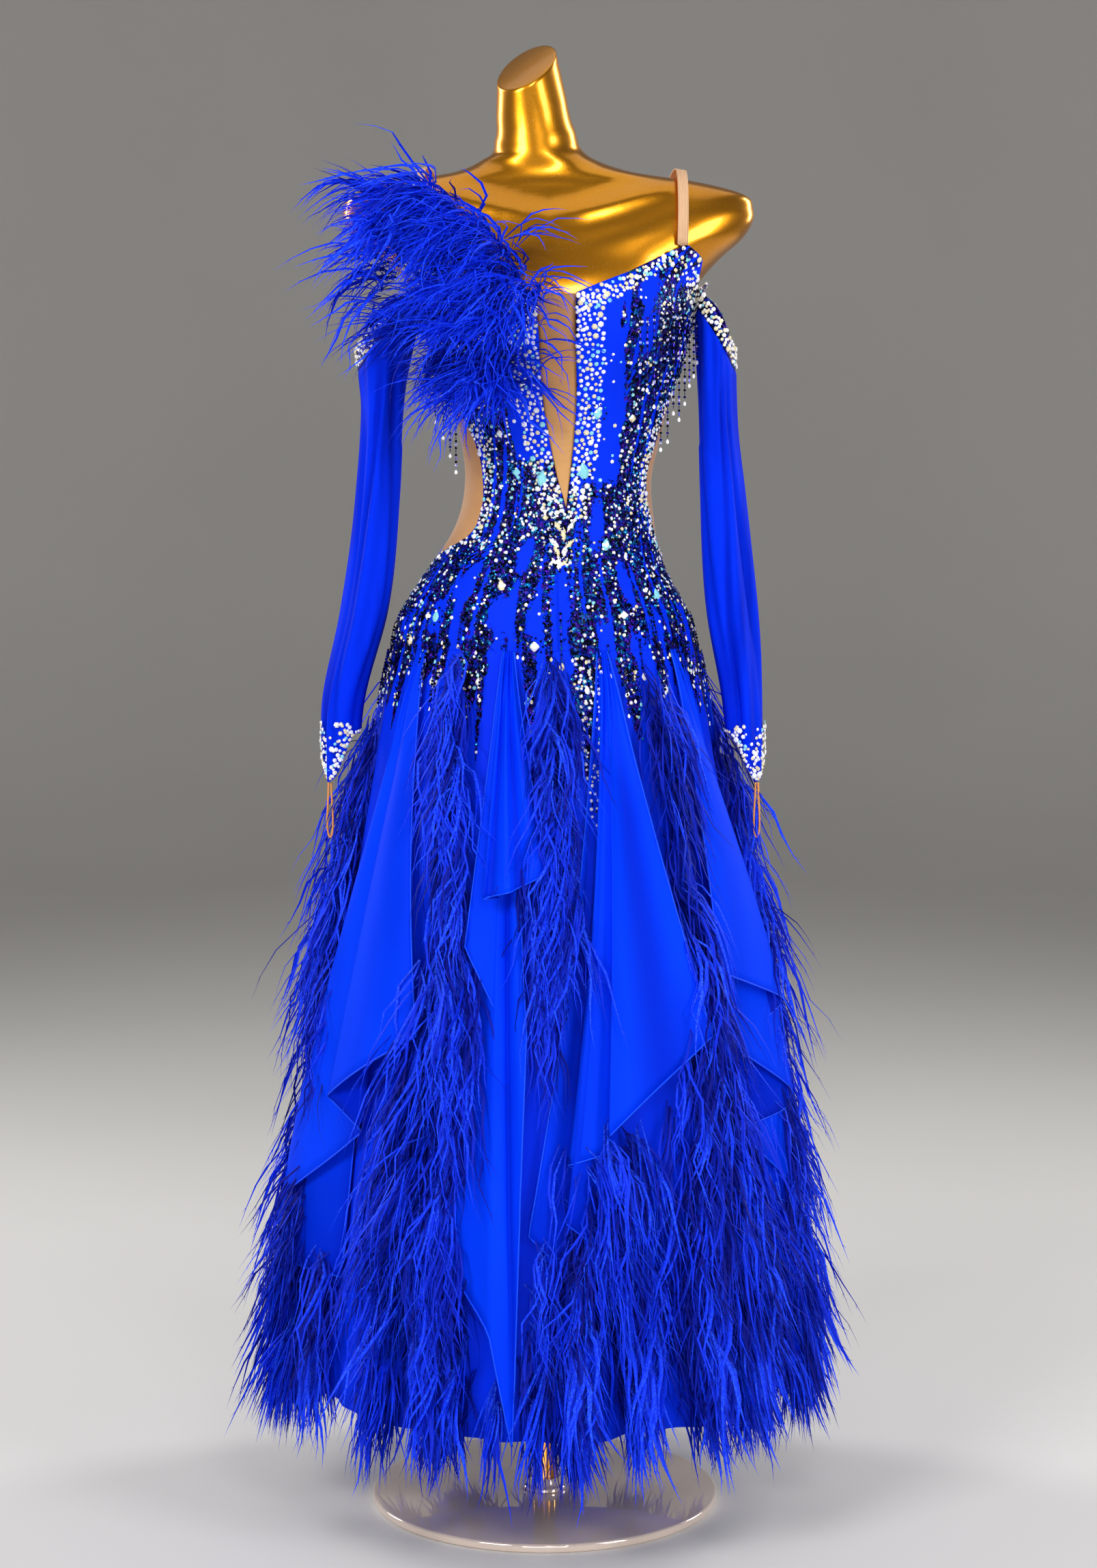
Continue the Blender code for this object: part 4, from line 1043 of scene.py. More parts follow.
class GownSizes(bpy.types.PropertyGroup):
    """Sizes of the gown's finer parts."""

    cloth: size_choice(
        "Cloth", "Thickness of the crepe and chiffon", 0.0009, 0.0004, 0.003, precision=4, unit="LENGTH"
    )
    rolled_hem: size_choice(
        "Rolled hem", "Radius of the panels' rolled hems", 0.0009, 0.0004, 0.002, precision=4, unit="LENGTH"
    )
    feather_length: size_choice(
        "Feather length", "How long the strands are, as a share of their usual length", 1.0, 0.5, 1.1
    )
    strands_per_boa: size_choice("Strands in a boa", "How many feather strands each boa has", 2050, 200, 4000, "Int")
    strands_on_shoulder: size_choice(
        "Strands on the shoulder", "How many feather strands the shoulder cluster has", 2100, 300, 6000, "Int"
    )
    stone: size_choice("Stone", "Size of the rhinestones, as a share of their usual size", 1.0, 0.5, 1.5)


# --- The stage, the cords and the stand

CAMERA_PLACE = (0.004, -3.2, 1.069)
CAMERA_PITCH = 5.65
CAMERA_LENS = 71.7
CAMERA_SENSOR = 36.0
WORLD_LIGHT = 0.20
# Columns: name, place, looks at, width, height, watts
LIGHTS = (
    ("key", (-1.9, -2.6, 2.6), (0.0, 0.0, 0.95), 1.2, 1.2, 66.0),
    ("fill", (2.3, -2.2, 1.7), (0.0, 0.0, 0.80), 0.9, 1.8, 40.0),
    ("front", (0.0, -3.6, 0.9), (0.0, 0.0, 0.60), 1.8, 0.8, 23.0),
    ("over", (0.5, -2.9, 3.1), (0.0, 0.0, 1.2), 0.9, 0.5, 20.0),
    ("edge_left", (2.2, 1.3, 2.0), (0.0, 0.0, 1.1), 0.7, 2.2, 38.0),
    ("edge_right", (-2.2, 1.3, 2.0), (0.0, 0.0, 1.1), 0.7, 2.2, 38.0),
    ("top", (0.0, 0.2, 3.2), (0.0, 0.0, 1.2), 2.2, 2.2, 10.0),
)
# The floor rises to a wall all round. Columns: radius, height
FLOOR = ((0.5, 0.0), (3.0, 0.0), (5.0, 0.0), (5.8, 0.08), (6.5, 0.4), (7.0, 1.0), (7.2, 2.0), (7.3, 4.5))


class MakeStage(bpy.types.Operator):
    """Make the pale floor, the soft lights and the camera"""

    bl_idname = "gown.stage"
    bl_label = "Studio"

    def execute(self, context):
        scene = context.scene
        camera_data = bpy.data.cameras.new("camera")
        camera_data.lens = CAMERA_LENS
        camera_data.sensor_width = CAMERA_SENSOR
        camera_data.sensor_fit = "AUTO"
        camera = link(bpy.data.objects.new("camera", camera_data))
        camera.location = CAMERA_PLACE
        camera.rotation_euler = (radians(90.0 - CAMERA_PITCH), 0.0, 0.0)
        scene.camera = camera
        # Royal blue this deep only shows with plain sRGB colours.
        scene.view_settings.view_transform = "Standard"
        for name, place, looks_at, width, height, watts in LIGHTS:
            light = bpy.data.lights.new(name, "AREA")
            light.shape = "RECTANGLE"
            light.size = width
            light.size_y = height
            light.energy = watts
            lamp = link(bpy.data.objects.new(name, light))
            lamp.location = place
            lamp.rotation_euler = (Vector(looks_at) - Vector(place)).to_track_quat("-Z", "Y").to_euler()
        world = bpy.data.worlds.new("studio")
        scene.world = world
        world.use_nodes = True
        background = world.node_tree.nodes["Background"]
        background.inputs["Color"].default_value = linear(HEX["floor"])
        background.inputs["Strength"].default_value = WORLD_LIGHT
        turned("studio_floor", FLOOR, 72, make_floor(), (0,), flip=True)
        return {"FINISHED"}


def sleeve_height(angle, share):
    """Return the height on a sleeve: slanted at the top, pointed at the cuff. share runs from top to cuff."""
    inwards = (1.0 - cos(angle)) / 2
    rise = inwards if sin(angle) >= 0 else inwards ** (1.0 - 0.62 * abs(sin(angle)))
    top = SLEEVE_TOP - SLEEVE_TOP_RISE + (2 * SLEEVE_TOP_RISE + SLEEVE_CAP) * rise
    near_point = max(0.0, cos(angle - CUFF_POINT)) ** 2
    cuff = SLEEVE_CUFF - CUFF_POINT_DROP * near_point
    return top + (cuff - top) * share


def sleeve_point(side, angle, share, out=0.0):
    """Return a point on a sleeve. Angle 0 is the side away from the body, and +90 degrees the front."""
    height = sleeve_height(angle, share)
    middle, half_width, half_depth, fold = SLEEVE_PROFILES[side].at(height)
    fold *= cos(SLEEVE_FOLDS * angle)
    reach = middle + (half_width + fold + out) * cos(angle)
    y = -(half_depth + fold + out) * sin(angle)
    if height > CAP_FROM:
        # Beside the bust the cap lies against the bodice.
        half_width, front, back, shift, _ = FIGURE_PROFILE.at(height)
        ratio = min(1.0, abs(y) / ((front if y < 0 else back) + CAP_CLEAR))
        reach = max(reach, (half_width + CAP_CLEAR) * sqrt(1.0 - ratio**2) + side * shift)
    return Vector((side * reach, y, height))


class MakeFingerLoops(bpy.types.Operator):
    """Make the elastic loop that hangs from each cuff's point"""

    bl_idname = "gown.finger_loops"
    bl_label = "Finger loops"

    def execute(self, context):
        for side, word in SIDES:
            root = sleeve_point(side, CUFF_POINT, 1.0, -SLEEVE_WALL / 2) + DOWN * LOOP_ROOT_GAP
            points = []
            for index in range(LOOP_POINTS + 1):
                turn = pi * index / LOOP_POINTS
                width = LOOP_ROOT_HALF_WIDTH + (LOOP_HALF_WIDTH - LOOP_ROOT_HALF_WIDTH) * sin(turn)
                points.append(root + Vector((-width * cos(turn), 0.0, -LOOP_DROP * sin(turn) ** 0.7)))
            curve = bpy.data.curves.new(f"loop_cord_{word}", "CURVE")
            curve.dimensions = "3D"
            curve.bevel_depth = LOOP_RADIUS
            curve.bevel_resolution = 3
            curve.use_fill_caps = True
            spline = curve.splines.new("POLY")
            spline.points.add(len(points) - 1)
            for place, point in zip(spline.points, points):
                place.co = (*point, 1.0)
            curve.materials.append(make_loop_elastic())
            loop = link(bpy.data.objects.new(f"loop_cord_{word}", curve))
            settle(loop, "nude_elastic", f"finger_loop_{word}")
        return {"FINISHED"}


BASE_RADIUS = 0.181
BASE_THICKNESS = 0.009
BASE_EDGE = 0.003
FLANGE_RADIUS = 0.0235
POLE_RADIUS = 0.0125
FORM_BOTTOM = 0.80
SEAT_GAP = 0.0003
# The collar's profile above the base. Columns: radius, height
COLLAR = (
    (FLANGE_RADIUS - 0.0008, 0.0), (FLANGE_RADIUS, 0.0008), (FLANGE_RADIUS, 0.0032), (FLANGE_RADIUS - 0.0008, 0.0042),
    (POLE_RADIUS + 0.0062, 0.0052), (POLE_RADIUS + 0.0046, 0.0080), (POLE_RADIUS + 0.0040, 0.0112),
    (POLE_RADIUS + 0.0034, 0.0120),
)


class MakeStand(bpy.types.Operator):
    """Make the polished base, its flange and the pole"""

    bl_idname = "gown.stand"
    bl_label = "Stand"

    def execute(self, context):
        quarter = [(BASE_EDGE * sin(a), BASE_EDGE * cos(a)) for a in np.linspace(0, pi / 2, 5)]
        flat = BASE_RADIUS - BASE_EDGE
        rim = [(flat + out, BASE_EDGE - drop) for out, drop in quarter]
        rim += [(flat + out, BASE_THICKNESS - BASE_EDGE + rise) for rise, out in quarter]
        settle(turned("base_plate", rim, 128, make_steel()), "mirror_steel", "base_disc")
        low = BASE_THICKNESS + SEAT_GAP
        collar = turned("base_collar", [(radius, low + height) for radius, height in COLLAR], 72, make_steel())
        settle(collar, "mirror_steel", "base_flange")
        levels = (low + COLLAR[-1][1] + SEAT_GAP, 0.30, 0.60, FORM_BOTTOM - SEAT_GAP)
        pole = turned("stand_pole", [(POLE_RADIUS, height) for height in levels], 64, make_gold_tube())
        settle(pole, "gold_tube", "pole")
        return {"FINISHED"}


def collarbone_swell(azimuth, height):
    """Return how far the form stands out here for its collarbones and the soft hollows round them."""
    if abs(azimuth) > 90.0 or height < 1.27 or height > 1.40:
        return 0.0
    across = abs(figure_point(azimuth, height, 0.0).x - 0.003)
    line = 1.319 + 0.30 * across
    inside = 1.0 / (1.0 + exp(-(across - 0.022) / 0.005)) / (1.0 + exp((across - 0.125) / 0.012))
    ridge = 0.0030 * bump(height - line, 0.0075) * inside
    hollow = 0.0030 * bump(height - line - 0.019, 0.011) * inside
    below = 0.0018 * bump(height - line + 0.020, 0.013) * inside
    notch = 0.0035 * bump(across, 0.010) * bump(height - 1.335, 0.013)
    return ridge - hollow - below - notch


def form_vertex(azimuth, height):
    """Return a point on the form. Levels near the neck's cut lean with it."""
    middle = FIGURE_PROFILE.at(height)[3]
    point = figure_point(azimuth, height, collarbone_swell(signed(azimuth), height))
    lean = max(0.0, (height - NECK_TILT_FROM) / (FIGURE[-1][0] - NECK_TILT_FROM))
    point.z += lean * (NECK_CUT_TILT[0] * (point.x - middle) + NECK_CUT_TILT[1] * point.y)
    return point


FORM_SIDES = 112
FORM_LEVELS = (*np.linspace(FORM_BOTTOM, 1.25, 56), *np.linspace(1.256, 1.476, 62))
# The neck's cut is rounded off. Columns: size as a share of the cut's, rise
FORM_ROUNDING = ((0.975, 0.0009), (0.93, 0.0012))


class MakeForm(bpy.types.Operator):
    """Make the smooth gold form inside the gown"""

    bl_idname = "gown.form"
    bl_label = "Form"

    def execute(self, context):
        bm = bmesh.new()
        azimuths = [360.0 * k / FORM_SIDES for k in range(FORM_SIDES)]
        rings = [[bm.verts.new(form_vertex(azimuth, height)) for azimuth in azimuths] for height in FORM_LEVELS]
        cut = rings[-1]
        centre = sum((vert.co for vert in cut), Vector()) / FORM_SIDES
        for shrink, rise in FORM_ROUNDING:
            rings.append([bm.verts.new(centre + (vert.co - centre) * shrink + Vector((0, 0, rise))) for vert in cut])
        skin(bm, rings)
        form = object_from(bm, "gold_form", make_gold_paint())
        form.data.set_sharp_from_angle(angle=radians(50))
        settle(form, "gold_paint", "dress_form")
        return {"FINISHED"}


# --- The bodice, its mesh and its straps

SHARE_ACROSS = np.linspace(0.0, 1.0, 49)
BODICE_ROWS = [HIP_SEAM, HIP_SEAM + 0.0005, *np.linspace(HIP_SEAM + 0.004, V_TOP, 90)]
WAIST_MESH_ROWS = np.linspace(0.977, 1.166, 61)
# Columns: azimuth, half width in degrees at the hip, lowest height, slant in degrees
DAGGERS = (
    (-84.0, 4.0, 0.8, -3.0), (-72.0, 4.5, 0.832, -5.0), (-62.0, 3.0, 0.812, -6.0), (-47.0, 5.5, 0.852, -6.0),
    (-39.0, 2.0, 0.84, -5.0), (-27.0, 6.5, 0.815, -4.0), (-23.5, 1.3, 0.785, 0.0), (-5.5, 2.5, 0.812, 1.0),
    (1.5, 1.0, 0.862, 0.0), (15.5, 5.5, 0.728, 1.0), (30.5, 4.0, 0.803, 4.0), (46.0, 3.0, 0.842, 5.0),
    (56.0, 4.5, 0.81, 6.0), (66.0, 2.5, 0.828, 6.0), (82.0, 5.0, 0.8, 3.0), (100.0, 5.0, 0.85, 2.0),
    (118.0, 6.0, 0.838, 0.0), (138.0, 5.0, 0.852, 0.0), (157.0, 6.5, 0.83, 0.0), (180.0, 6.0, 0.8, 0.0),
    (203.0, 6.5, 0.83, 0.0), (222.0, 5.0, 0.852, 0.0), (242.0, 6.0, 0.838, 0.0), (262.0, 5.0, 0.85, 0.0),
)
# Lens-shaped windows of bare cloth. Columns: azimuth, height, half width in degrees, half height
WINDOWS = (
    (-25.0, 1.117, 5.0, 0.02), (-12.0, 0.99, 4.0, 0.018), (-18.0, 0.93, 5.0, 0.022), (-4.0, 0.92, 3.6, 0.026),
    (6.5, 0.945, 4.0, 0.042), (37.0, 1.252, 5.0, 0.017), (61.0, 1.266, 8.0, 0.011), (41.0, 1.208, 3.6, 0.022),
    (24.0, 1.02, 4.5, 0.028), (38.0, 0.96, 3.6, 0.022), (-38.0, 0.96, 5.0, 0.018), (-48.0, 0.925, 5.0, 0.016),
    (-33.0, 0.908, 5.0, 0.015), (22.0, 0.905, 3.5, 0.02), (50.0, 0.915, 4.0, 0.02), (-70.0, 0.918, 5.0, 0.015),
    (72.0, 0.922, 4.0, 0.02),
)


def bodice_beading(azimuth, height, fine):
    """Return how densely the bodice is beaded here. Azimuths run from -180 to 180."""
    if abs(azimuth) > 92.0:
        edge = 0.965 + 0.022 * noise.noise(Vector((azimuth * 0.16, 0.0, 9.0)))
        return (1.0 - eased(height, edge - 0.010, edge + 0.010)) * (0.85 + 0.3 * fine)
    value = 0.92
    v_right, v_left = EDGE_PROFILE.at(height)[:2]
    side, edge = (1, v_left) if azimuth > v_left else (-1, v_right)
    from_edge = abs(bodice_point(azimuth, height).x - bodice_point(edge, height).x)
    width = (0.047 if side > 0 else 0.033) + 0.006 * noise.noise(Vector((3.0 * side, height * 34.0, 4.0)))
    low = 1.062 if side > 0 else 1.086
    bare = (1.0 - eased(from_edge, width - 0.004, width + 0.004)) * eased(height, low - 0.014, low + 0.014)
    value -= 1.1 * bare
    for centre, level, half_width, half_height in WINDOWS:
        reach = ((azimuth - centre) / half_width) ** 2 + ((height - level) / half_height) ** 2
        if reach < 2.5:
            value -= 1.1 * exp(-(reach**1.3))
    streak = noise.noise(Vector((azimuth * 0.42, height * 7.0, 1.7)))
    return value - max(0.0, streak - 0.17) * 4.5


def dagger_beading(azimuth, height):
    """Return how densely the hip's pointed beaded daggers cover this place. Azimuths run from -180 to 180."""
    value = 0.0
    for centre, half_width, lowest, slant in DAGGERS:
        if height < lowest - 0.004:
            continue
        share = max(0.0, (0.900 - height) / (0.900 - lowest))
        half = half_width * (1.0 - share**1.6) ** 0.7 if share < 1.0 else 0.0
        away = abs(signed(azimuth - centre - slant * share))
        ragged = half * (1.0 + 0.45 * noise.noise(Vector((centre, height * 60.0, 2.0))))
        value = max(value, min(1.0, (ragged - away) / 0.8 + 0.5))
    return value


def beading_at(azimuth, height):
    """Return how densely the cloth is beaded here, from 0, bare, to 1. Daggers run on from the bodice's streaks."""
    azimuth = signed(azimuth)
    fine = noise.noise(Vector((azimuth * 1.1, height * 26.0, 5.3)))
    share = eased(height, 0.872, 0.940)
    value = dagger_beading(azimuth, height) * (1.0 - share) if share < 1.0 else 0.0
    if share > 0.0:
        value += bodice_beading(azimuth, max(height, HIP_SEAM), fine) * share
    return max(0.0, min(1.0, value + 0.30 * fine * (0.4 + 0.6 * share)))


def front_point(side, share, level):
    """Return a point on one of the fronts, with its azimuth and height. share runs from the V to the side."""
    height = HIP_SEAM + (level - HIP_SEAM) / (V_TOP - HIP_SEAM) * (neckline(share) - HIP_SEAM)
    v_edge, side_edge = edges_of(side, height)[:2]
    azimuth = v_edge + (side_edge - v_edge) * share
    return bodice_point(azimuth, height), azimuth, height


class MakeBodice(bpy.types.Operator):
    """Make the bodice's two beaded fronts and its back"""

    bl_idname = "gown.bodice"
    bl_label = "Bodice"

    def execute(self, context):
        for side, word in SIDES:
            found = [[front_point(side, share, level) for share in SHARE_ACROSS[::side]] for level in BODICE_ROWS]
            rows = [[point for point, _, _ in row] for row in found]
            beading = [[beading_at(azimuth, height) for _, azimuth, height in row] for row in found]
            strings = [bpy.data.objects[f"bead_{kind}_{word}"] for kind in ("strings", "drops")]
            sheet_of(
                f"beaded_front_{word}", rows, make_beaded(), BEADED_CLOTH, "blue_crepe", [f"bodice_front_{word}"],
                "stretched", "gold_form", extras=strings, beading=beading,
            )
        rows, beading = [], []
        for level in np.linspace(HIP_SEAM, BACK_TOP, 81):
            azimuths = np.linspace(edges_of(1, level)[2], 360.0 + edges_of(-1, level)[2], 73)
            rows.append([figure_point(azimuth, level, BODICE_GAP + BODICE_WALL) for azimuth in azimuths])
            beading.append([beading_at(azimuth, level) for azimuth in azimuths])
        sheet_of(
            "bodice_back_panel", rows, make_beaded(), BEADED_CLOTH, "blue_crepe", ["bodice_back"], "stretched",
            "gold_form", beading=beading,
        )
        return {"FINISHED"}


class MakeMesh(bpy.types.Operator):
    """Make the nude mesh in the V and at either side of the waist"""

    bl_idname = "gown.mesh"
    bl_label = "Nude mesh"

    def execute(self, context):
        rows = []
        for height in np.linspace(V_TIP + 0.004, V_TOP - 0.001, 61):
            right, left = EDGE_PROFILE.at(height)[:2]
            azimuths = right + (left - right) * np.linspace(-0.02, 1.02, 11)
            dip = 0.0012 * sin(pi * min(1.0, (height - V_TIP) / (V_TOP - V_TIP)))
            rows.append([figure_point(azimuth, height, BODICE_GAP + MESH_WALL - dip) for azimuth in azimuths])
        looks = make_mesh(), MESH_CLOTH, "nude_mesh"
        sheet_of("v_mesh", rows, *looks, ["v_insert"], "stretched", "gold_form")
        for side, word in SIDES:
            rows = []
            for height in WAIST_MESH_ROWS:
                front, back = edges_of(side, height)[1:]
                azimuths = front + (back - front) * np.linspace(-0.02, 1.02, 21)[::side]
                rows.append([figure_point(azimuth, height, BODICE_GAP + MESH_WALL) for azimuth in azimuths])
            sheet_of(f"waist_mesh_{word}", rows, *looks, [f"side_mesh_{word}"], "stretched", "gold_form")
        return {"FINISHED"}


def over_shoulder(x, angle):
    """Return the point where the form's surface meets a ray from inside the shoulder at this angle from the front."""
    centre = Vector((x, 0.0, STRAP_CENTRE_HEIGHT))
    heading = Vector((0.0, -cos(angle), sin(angle)))
    low, high = 0.02, 0.20
    for _ in range(24):
        middle = (low + high) / 2
        point = centre + heading * middle
        half_width, front, back, shift, bluntness = FIGURE_PROFILE.at(point.z)
        depth = front if point.y < 0 else back
        across = min(1.0, abs((point.x - shift) / half_width))
        inside = across**bluntness + (abs(point.y) / depth) ** bluntness < 1.0 and point.z < 1.40
        low, high = (middle, high) if inside else (low, middle)
    return centre + heading * low, heading


class MakeStraps(bpy.types.Operator):
    """Make the two ribbed elastic straps over the shoulders"""

    bl_idname = "gown.straps"
    bl_label = "Straps"

    def execute(self, context):
        for side, word in SIDES:
            front = bodice_point(side * STRAP_AZIMUTH, neckline(STRAP_PLACE) + SEAM_GAP)
            back = figure_point(side * (180.0 - STRAP_AZIMUTH), BACK_TOP + SEAM_GAP, BODICE_GAP)
            start = atan2(front.z - STRAP_CENTRE_HEIGHT, -front.y)
            end = atan2(back.z - STRAP_CENTRE_HEIGHT, -back.y)
            columns = []
            for offset in np.linspace(-STRAP_WIDTH / 2, STRAP_WIDTH / 2, 7):
                column = []
                for share in np.linspace(0.0, 1.0, 61):
                    angle = start + (end - start) * share
                    x = front.x + (back.x - front.x) * share + side * STRAP_BOW * sin(pi * share)
                    hit, heading = over_shoulder(x + offset, angle)
                    lift = STRAP_LIFT * max(0.0, sin(pi * share)) ** STRAP_LIFT_POWER
                    column.append(hit + heading * (STRAP_OUT + lift + STRAP_THICKNESS))
                near = [column[max(0, k - 3) : k + 4] for k in range(len(column))]
                smooth = [sum(points, Vector()) / len(points) for points in near]
                columns.append([column[0], *smooth[1:-1], column[-1]])
            sheet_of(
                f"elastic_strap_{word}", list(zip(*columns)), make_elastic(), STRAP_THICKNESS, "nude_elastic",
                [f"strap_{word}"], "stretched", "gold_form",
            )
        return {"FINISHED"}


def groove(side, angle, share):
    """Return how deep this place lies in a sleeve's long creases."""
    deep = 0.0
    for place, drift, depth in CREASES:
        deep += depth * bump(angle - place - drift * sin(4.0 * share + side) - 0.12 * side, 0.16)
    return deep * eased(share, 0.06, 0.22) * (1.0 - 0.55 * share)


def creased(side, angle, share):
    """Return a point on a sleeve's creased cloth."""
    creases = -0.0075 * groove(side, angle, share)
    if share > 0.05:
        waver = noise.noise(Vector((cos(angle) * 1.6, sin(angle) * 1.6, share * 2.2 + side)))
        creases += 0.0035 * waver * min(1.0, (share - 0.05) * 5.0)
        creases += 0.0014 * sin(7.0 * angle + 3.0 * share + 1.3 * side) * bump(share - 0.90, 0.12)
        creases += 0.0016 * sin(9.0 * angle + side) * bump(share - 0.10, 0.10)
    inside = max(0.0, -cos(angle)) * 0.0011 if share < 0.35 else 0.0
    return sleeve_point(side, angle, share, max(-0.009, min(creases, 0.003)) - inside)


class MakeSleeves(bpy.types.Operator):
    """Make the two long sleeves, open at the top and the cuff, with their jewelled top bands"""

    bl_idname = "gown.sleeves"
    bl_label = "Sleeves"

    def execute(self, context):
        cloth = context.scene.gown_sizes.cloth
        shares = np.linspace(1.0, BAND_SHARE, 84)
        for side, word in SIDES:
            angles = [2 * pi * k / 72 for k in range(72)][::-side]
            sheet_of(
                f"crepe_sleeve_{word}", [[creased(side, angle, share) for angle in angles] for share in shares],
                make_crepe(), cloth, "blue_crepe", [f"sleeve_{word}"], "hung", f"arm_band_{word}", wrap=True,
                # The crepe paints shade in the creases by these numbers.
                fold=[[groove(side, angle, share) ** 1.3 for angle in angles] for share in shares],
            )
            levels = np.linspace(BAND_SHARE, 0.0, 9)
            rows = [[sleeve_point(side, angle, share, 0.0003) for angle in angles] for share in levels]
            sheet_of(
                f"arm_band_{word}", rows, make_beaded(), BAND_CLOTH, "jewel_band", [f"sleeve_band_{word}"],
                "stretched", f"beaded_front_{word}", wrap=True, beading=[[0.9] * len(angles)] * len(rows),
            )
        return {"FINISHED"}


# --- The skirt

class Drape:
    """One chiffon panel: straight threads from a little of the hip seam to a long hem that folds to and fro."""

    def __init__(self, top_left, top_right, hem, lift=0.0):
        self.top_left = top_left
        self.top_right = top_right
        self.lift = lift
        spans = [0.0]
        for (a, h, _), (b, k, _) in zip(hem, hem[1:]):
            spans.append(spans[-1] + hypot((b - a) * METRES_IN_DEGREE_AT_HEM, k - h))
        self.hem = hem
        self.places = [span / spans[-1] for span in spans]
        self.rows = np.array(hem, dtype=float)

    def ripple(self, u):
        """Return the height of the panel's even folds across u, from -1 to 1."""
        return sin(2 * pi * (2.6 * u + 0.13 * self.top_left))

    def hem_at(self, u):
        """Return the hem's azimuth, height and distance from the skirt, with its folds rounded."""
        index = min(int(np.searchsorted(self.places, u, side="right")) - 1, len(self.places) - 2)
        index = max(index, 0)
        t = (u - self.places[index]) / (self.places[index + 1] - self.places[index])
        t = 0.35 * t + 0.65 * t * t * (3 - 2 * t)
        return self.rows[index] * (1 - t) + self.rows[index + 1] * t

    def at(self, u, v):
        """Return a point on the panel, u from left to right and v from the hip to the hem."""
        azimuth_at_hem, low, away_at_hem = self.hem_at(u)
        top = HIP_SEAM - SEAM_GAP
        height = top + (low - top) * v
        azimuth_at_top = self.top_left + (self.top_right - self.top_left) * u
        azimuth = azimuth_at_top + (azimuth_at_hem - azimuth_at_top) * v
        gathers = 0.0022 * sin(2 * pi * 5 * u) * bump(v - 0.10, 0.12)
        gathers += 0.0078 * self.ripple(u) * v**0.5 * (1.0 - 0.5 * v)
        waver = 0.004 * noise.noise(Vector((u * 4.0, v * 1.2, self.top_left * 0.3))) * v
        away = PANEL_OUT_AT_TOP + self.lift + (away_at_hem - PANEL_OUT_AT_TOP - self.lift) * v**0.85
        return skirt_point(azimuth, height, away + gathers + waver * 0.6)

    def fold(self, u, v):
        """Return how deep in a fold this place lies, from 0 to 1, for the chiffon's painted shade."""
        valley = max(0.0, -self.ripple(u)) ** 1.6 * min(1.0, v * 2.5)
        turned_back = self.hem_at(min(1.0, u + 0.01))[0] < self.hem_at(max(0.0, u - 0.01))[0]
        return min(1.0, 0.8 * valley + (0.9 * v**4 if turned_back else 0.0))

    def grid(self):
        """Return the panel's rows of points, from its hem up to the hip, and how deep in a fold each lies."""
        across, up = np.linspace(0.0, 1.0, PANEL_COLUMNS), np.linspace(1.0, 0.0, PANEL_ROWS)
        return [[[read(u, v) for u in across] for v in up] for read in (self.at, self.fold)]

    def outline(self):
        """Return the panel's outline as azimuth and height, with its hem run from end to end."""
        return [(self.top_left, HIP_SEAM), *((a, h) for a, h, _ in self.hem), (self.top_right, HIP_SEAM)]


DRAPES = [
    Drape(*((left + right) / 2 + side * PLEATED * (right - left) / 2 for side in (-1, 1)), hem)
    for (left, right), hem in zip(PANEL_TOPS, PANEL_HEMS)
]
FLAP = Drape(-14.5, -11.0, FLAP_HEM, 0.003)


def filled(outline):
    """Return an outline's left and right edges at a few heights, so that folded hems count as cloth all through."""
    heights = np.linspace(min(h for _, h in outline), HIP_SEAM - 0.001, 40)
    spans = []
    for height in heights:
        crossings = []
        for (a, h), (b, k) in zip(outline, [*outline[1:], outline[0]]):
            if (h > height) != (k > height):
                crossings.append(a + (height - h) / (k - h) * (b - a))
        spans.append((min(crossings), max(crossings)) if crossings else (0.0, 0.0))
    return heights, np.array(spans)


# Feathers lie over the left of the long tail, so only this much of it is kept clear of them.
TAIL_OUTLINE = (
    (-14.0, 0.895), (-20.5, 0.612), (-12.5, 0.545), (-12.8, 0.44), (-13.5, 0.345), (-26.5, 0.332), (-23.0, 0.3),
    (-14.5, 0.262), (-11.6, 0.215), (-9.2, 0.128), (-4.2, 0.128), (-3.4, 0.3), (-4.2, 0.53), (-11.5, 0.895),
)
COVERED = [filled(TAIL_OUTLINE if number == 1 else drape.outline()) for number, drape in enumerate(DRAPES)]


def panel_covers(azimuth, height, margin=0.0):
    """Say whether a panel lies over this place on the skirt, at least margin degrees inside its edges."""
    for heights, spans in COVERED:
        if height < heights[0]:
            continue
        left = float(np.interp(height, heights, spans[:, 0])) + margin
        right = float(np.interp(height, heights, spans[:, 1])) - margin
        middle = (left + right) / 2
        if left < middle + signed(azimuth - middle) < right:
            return True
    return False


SKIRT_LEVELS = (
    *np.linspace(SKIRT_HEM, 0.70, 22), *np.linspace(0.7035, 0.8925, 62), HIP_SEAM - 0.0005, HIP_SEAM - 0.00003,
)


def underskirt_point(azimuth, height):
    """Return a point on the underskirt's cloth, with its fine folds and its lobed hem."""
    fine = 0.0025 * sin(radians(31 * azimuth)) * max(0.0, (0.86 - height) / 0.72) ** 0.7
    point = skirt_point(azimuth, height, fine - 0.001 + 0.0016 * eased(height, 0.865, 0.893))
    drop = sum(fall * bump(signed(azimuth) - centre, half) for centre, half, fall in SKIRT_LOBES)
    point.z -= drop * max(0.0, 1.0 - (height - SKIRT_HEM) / 0.12) ** 2
    return point


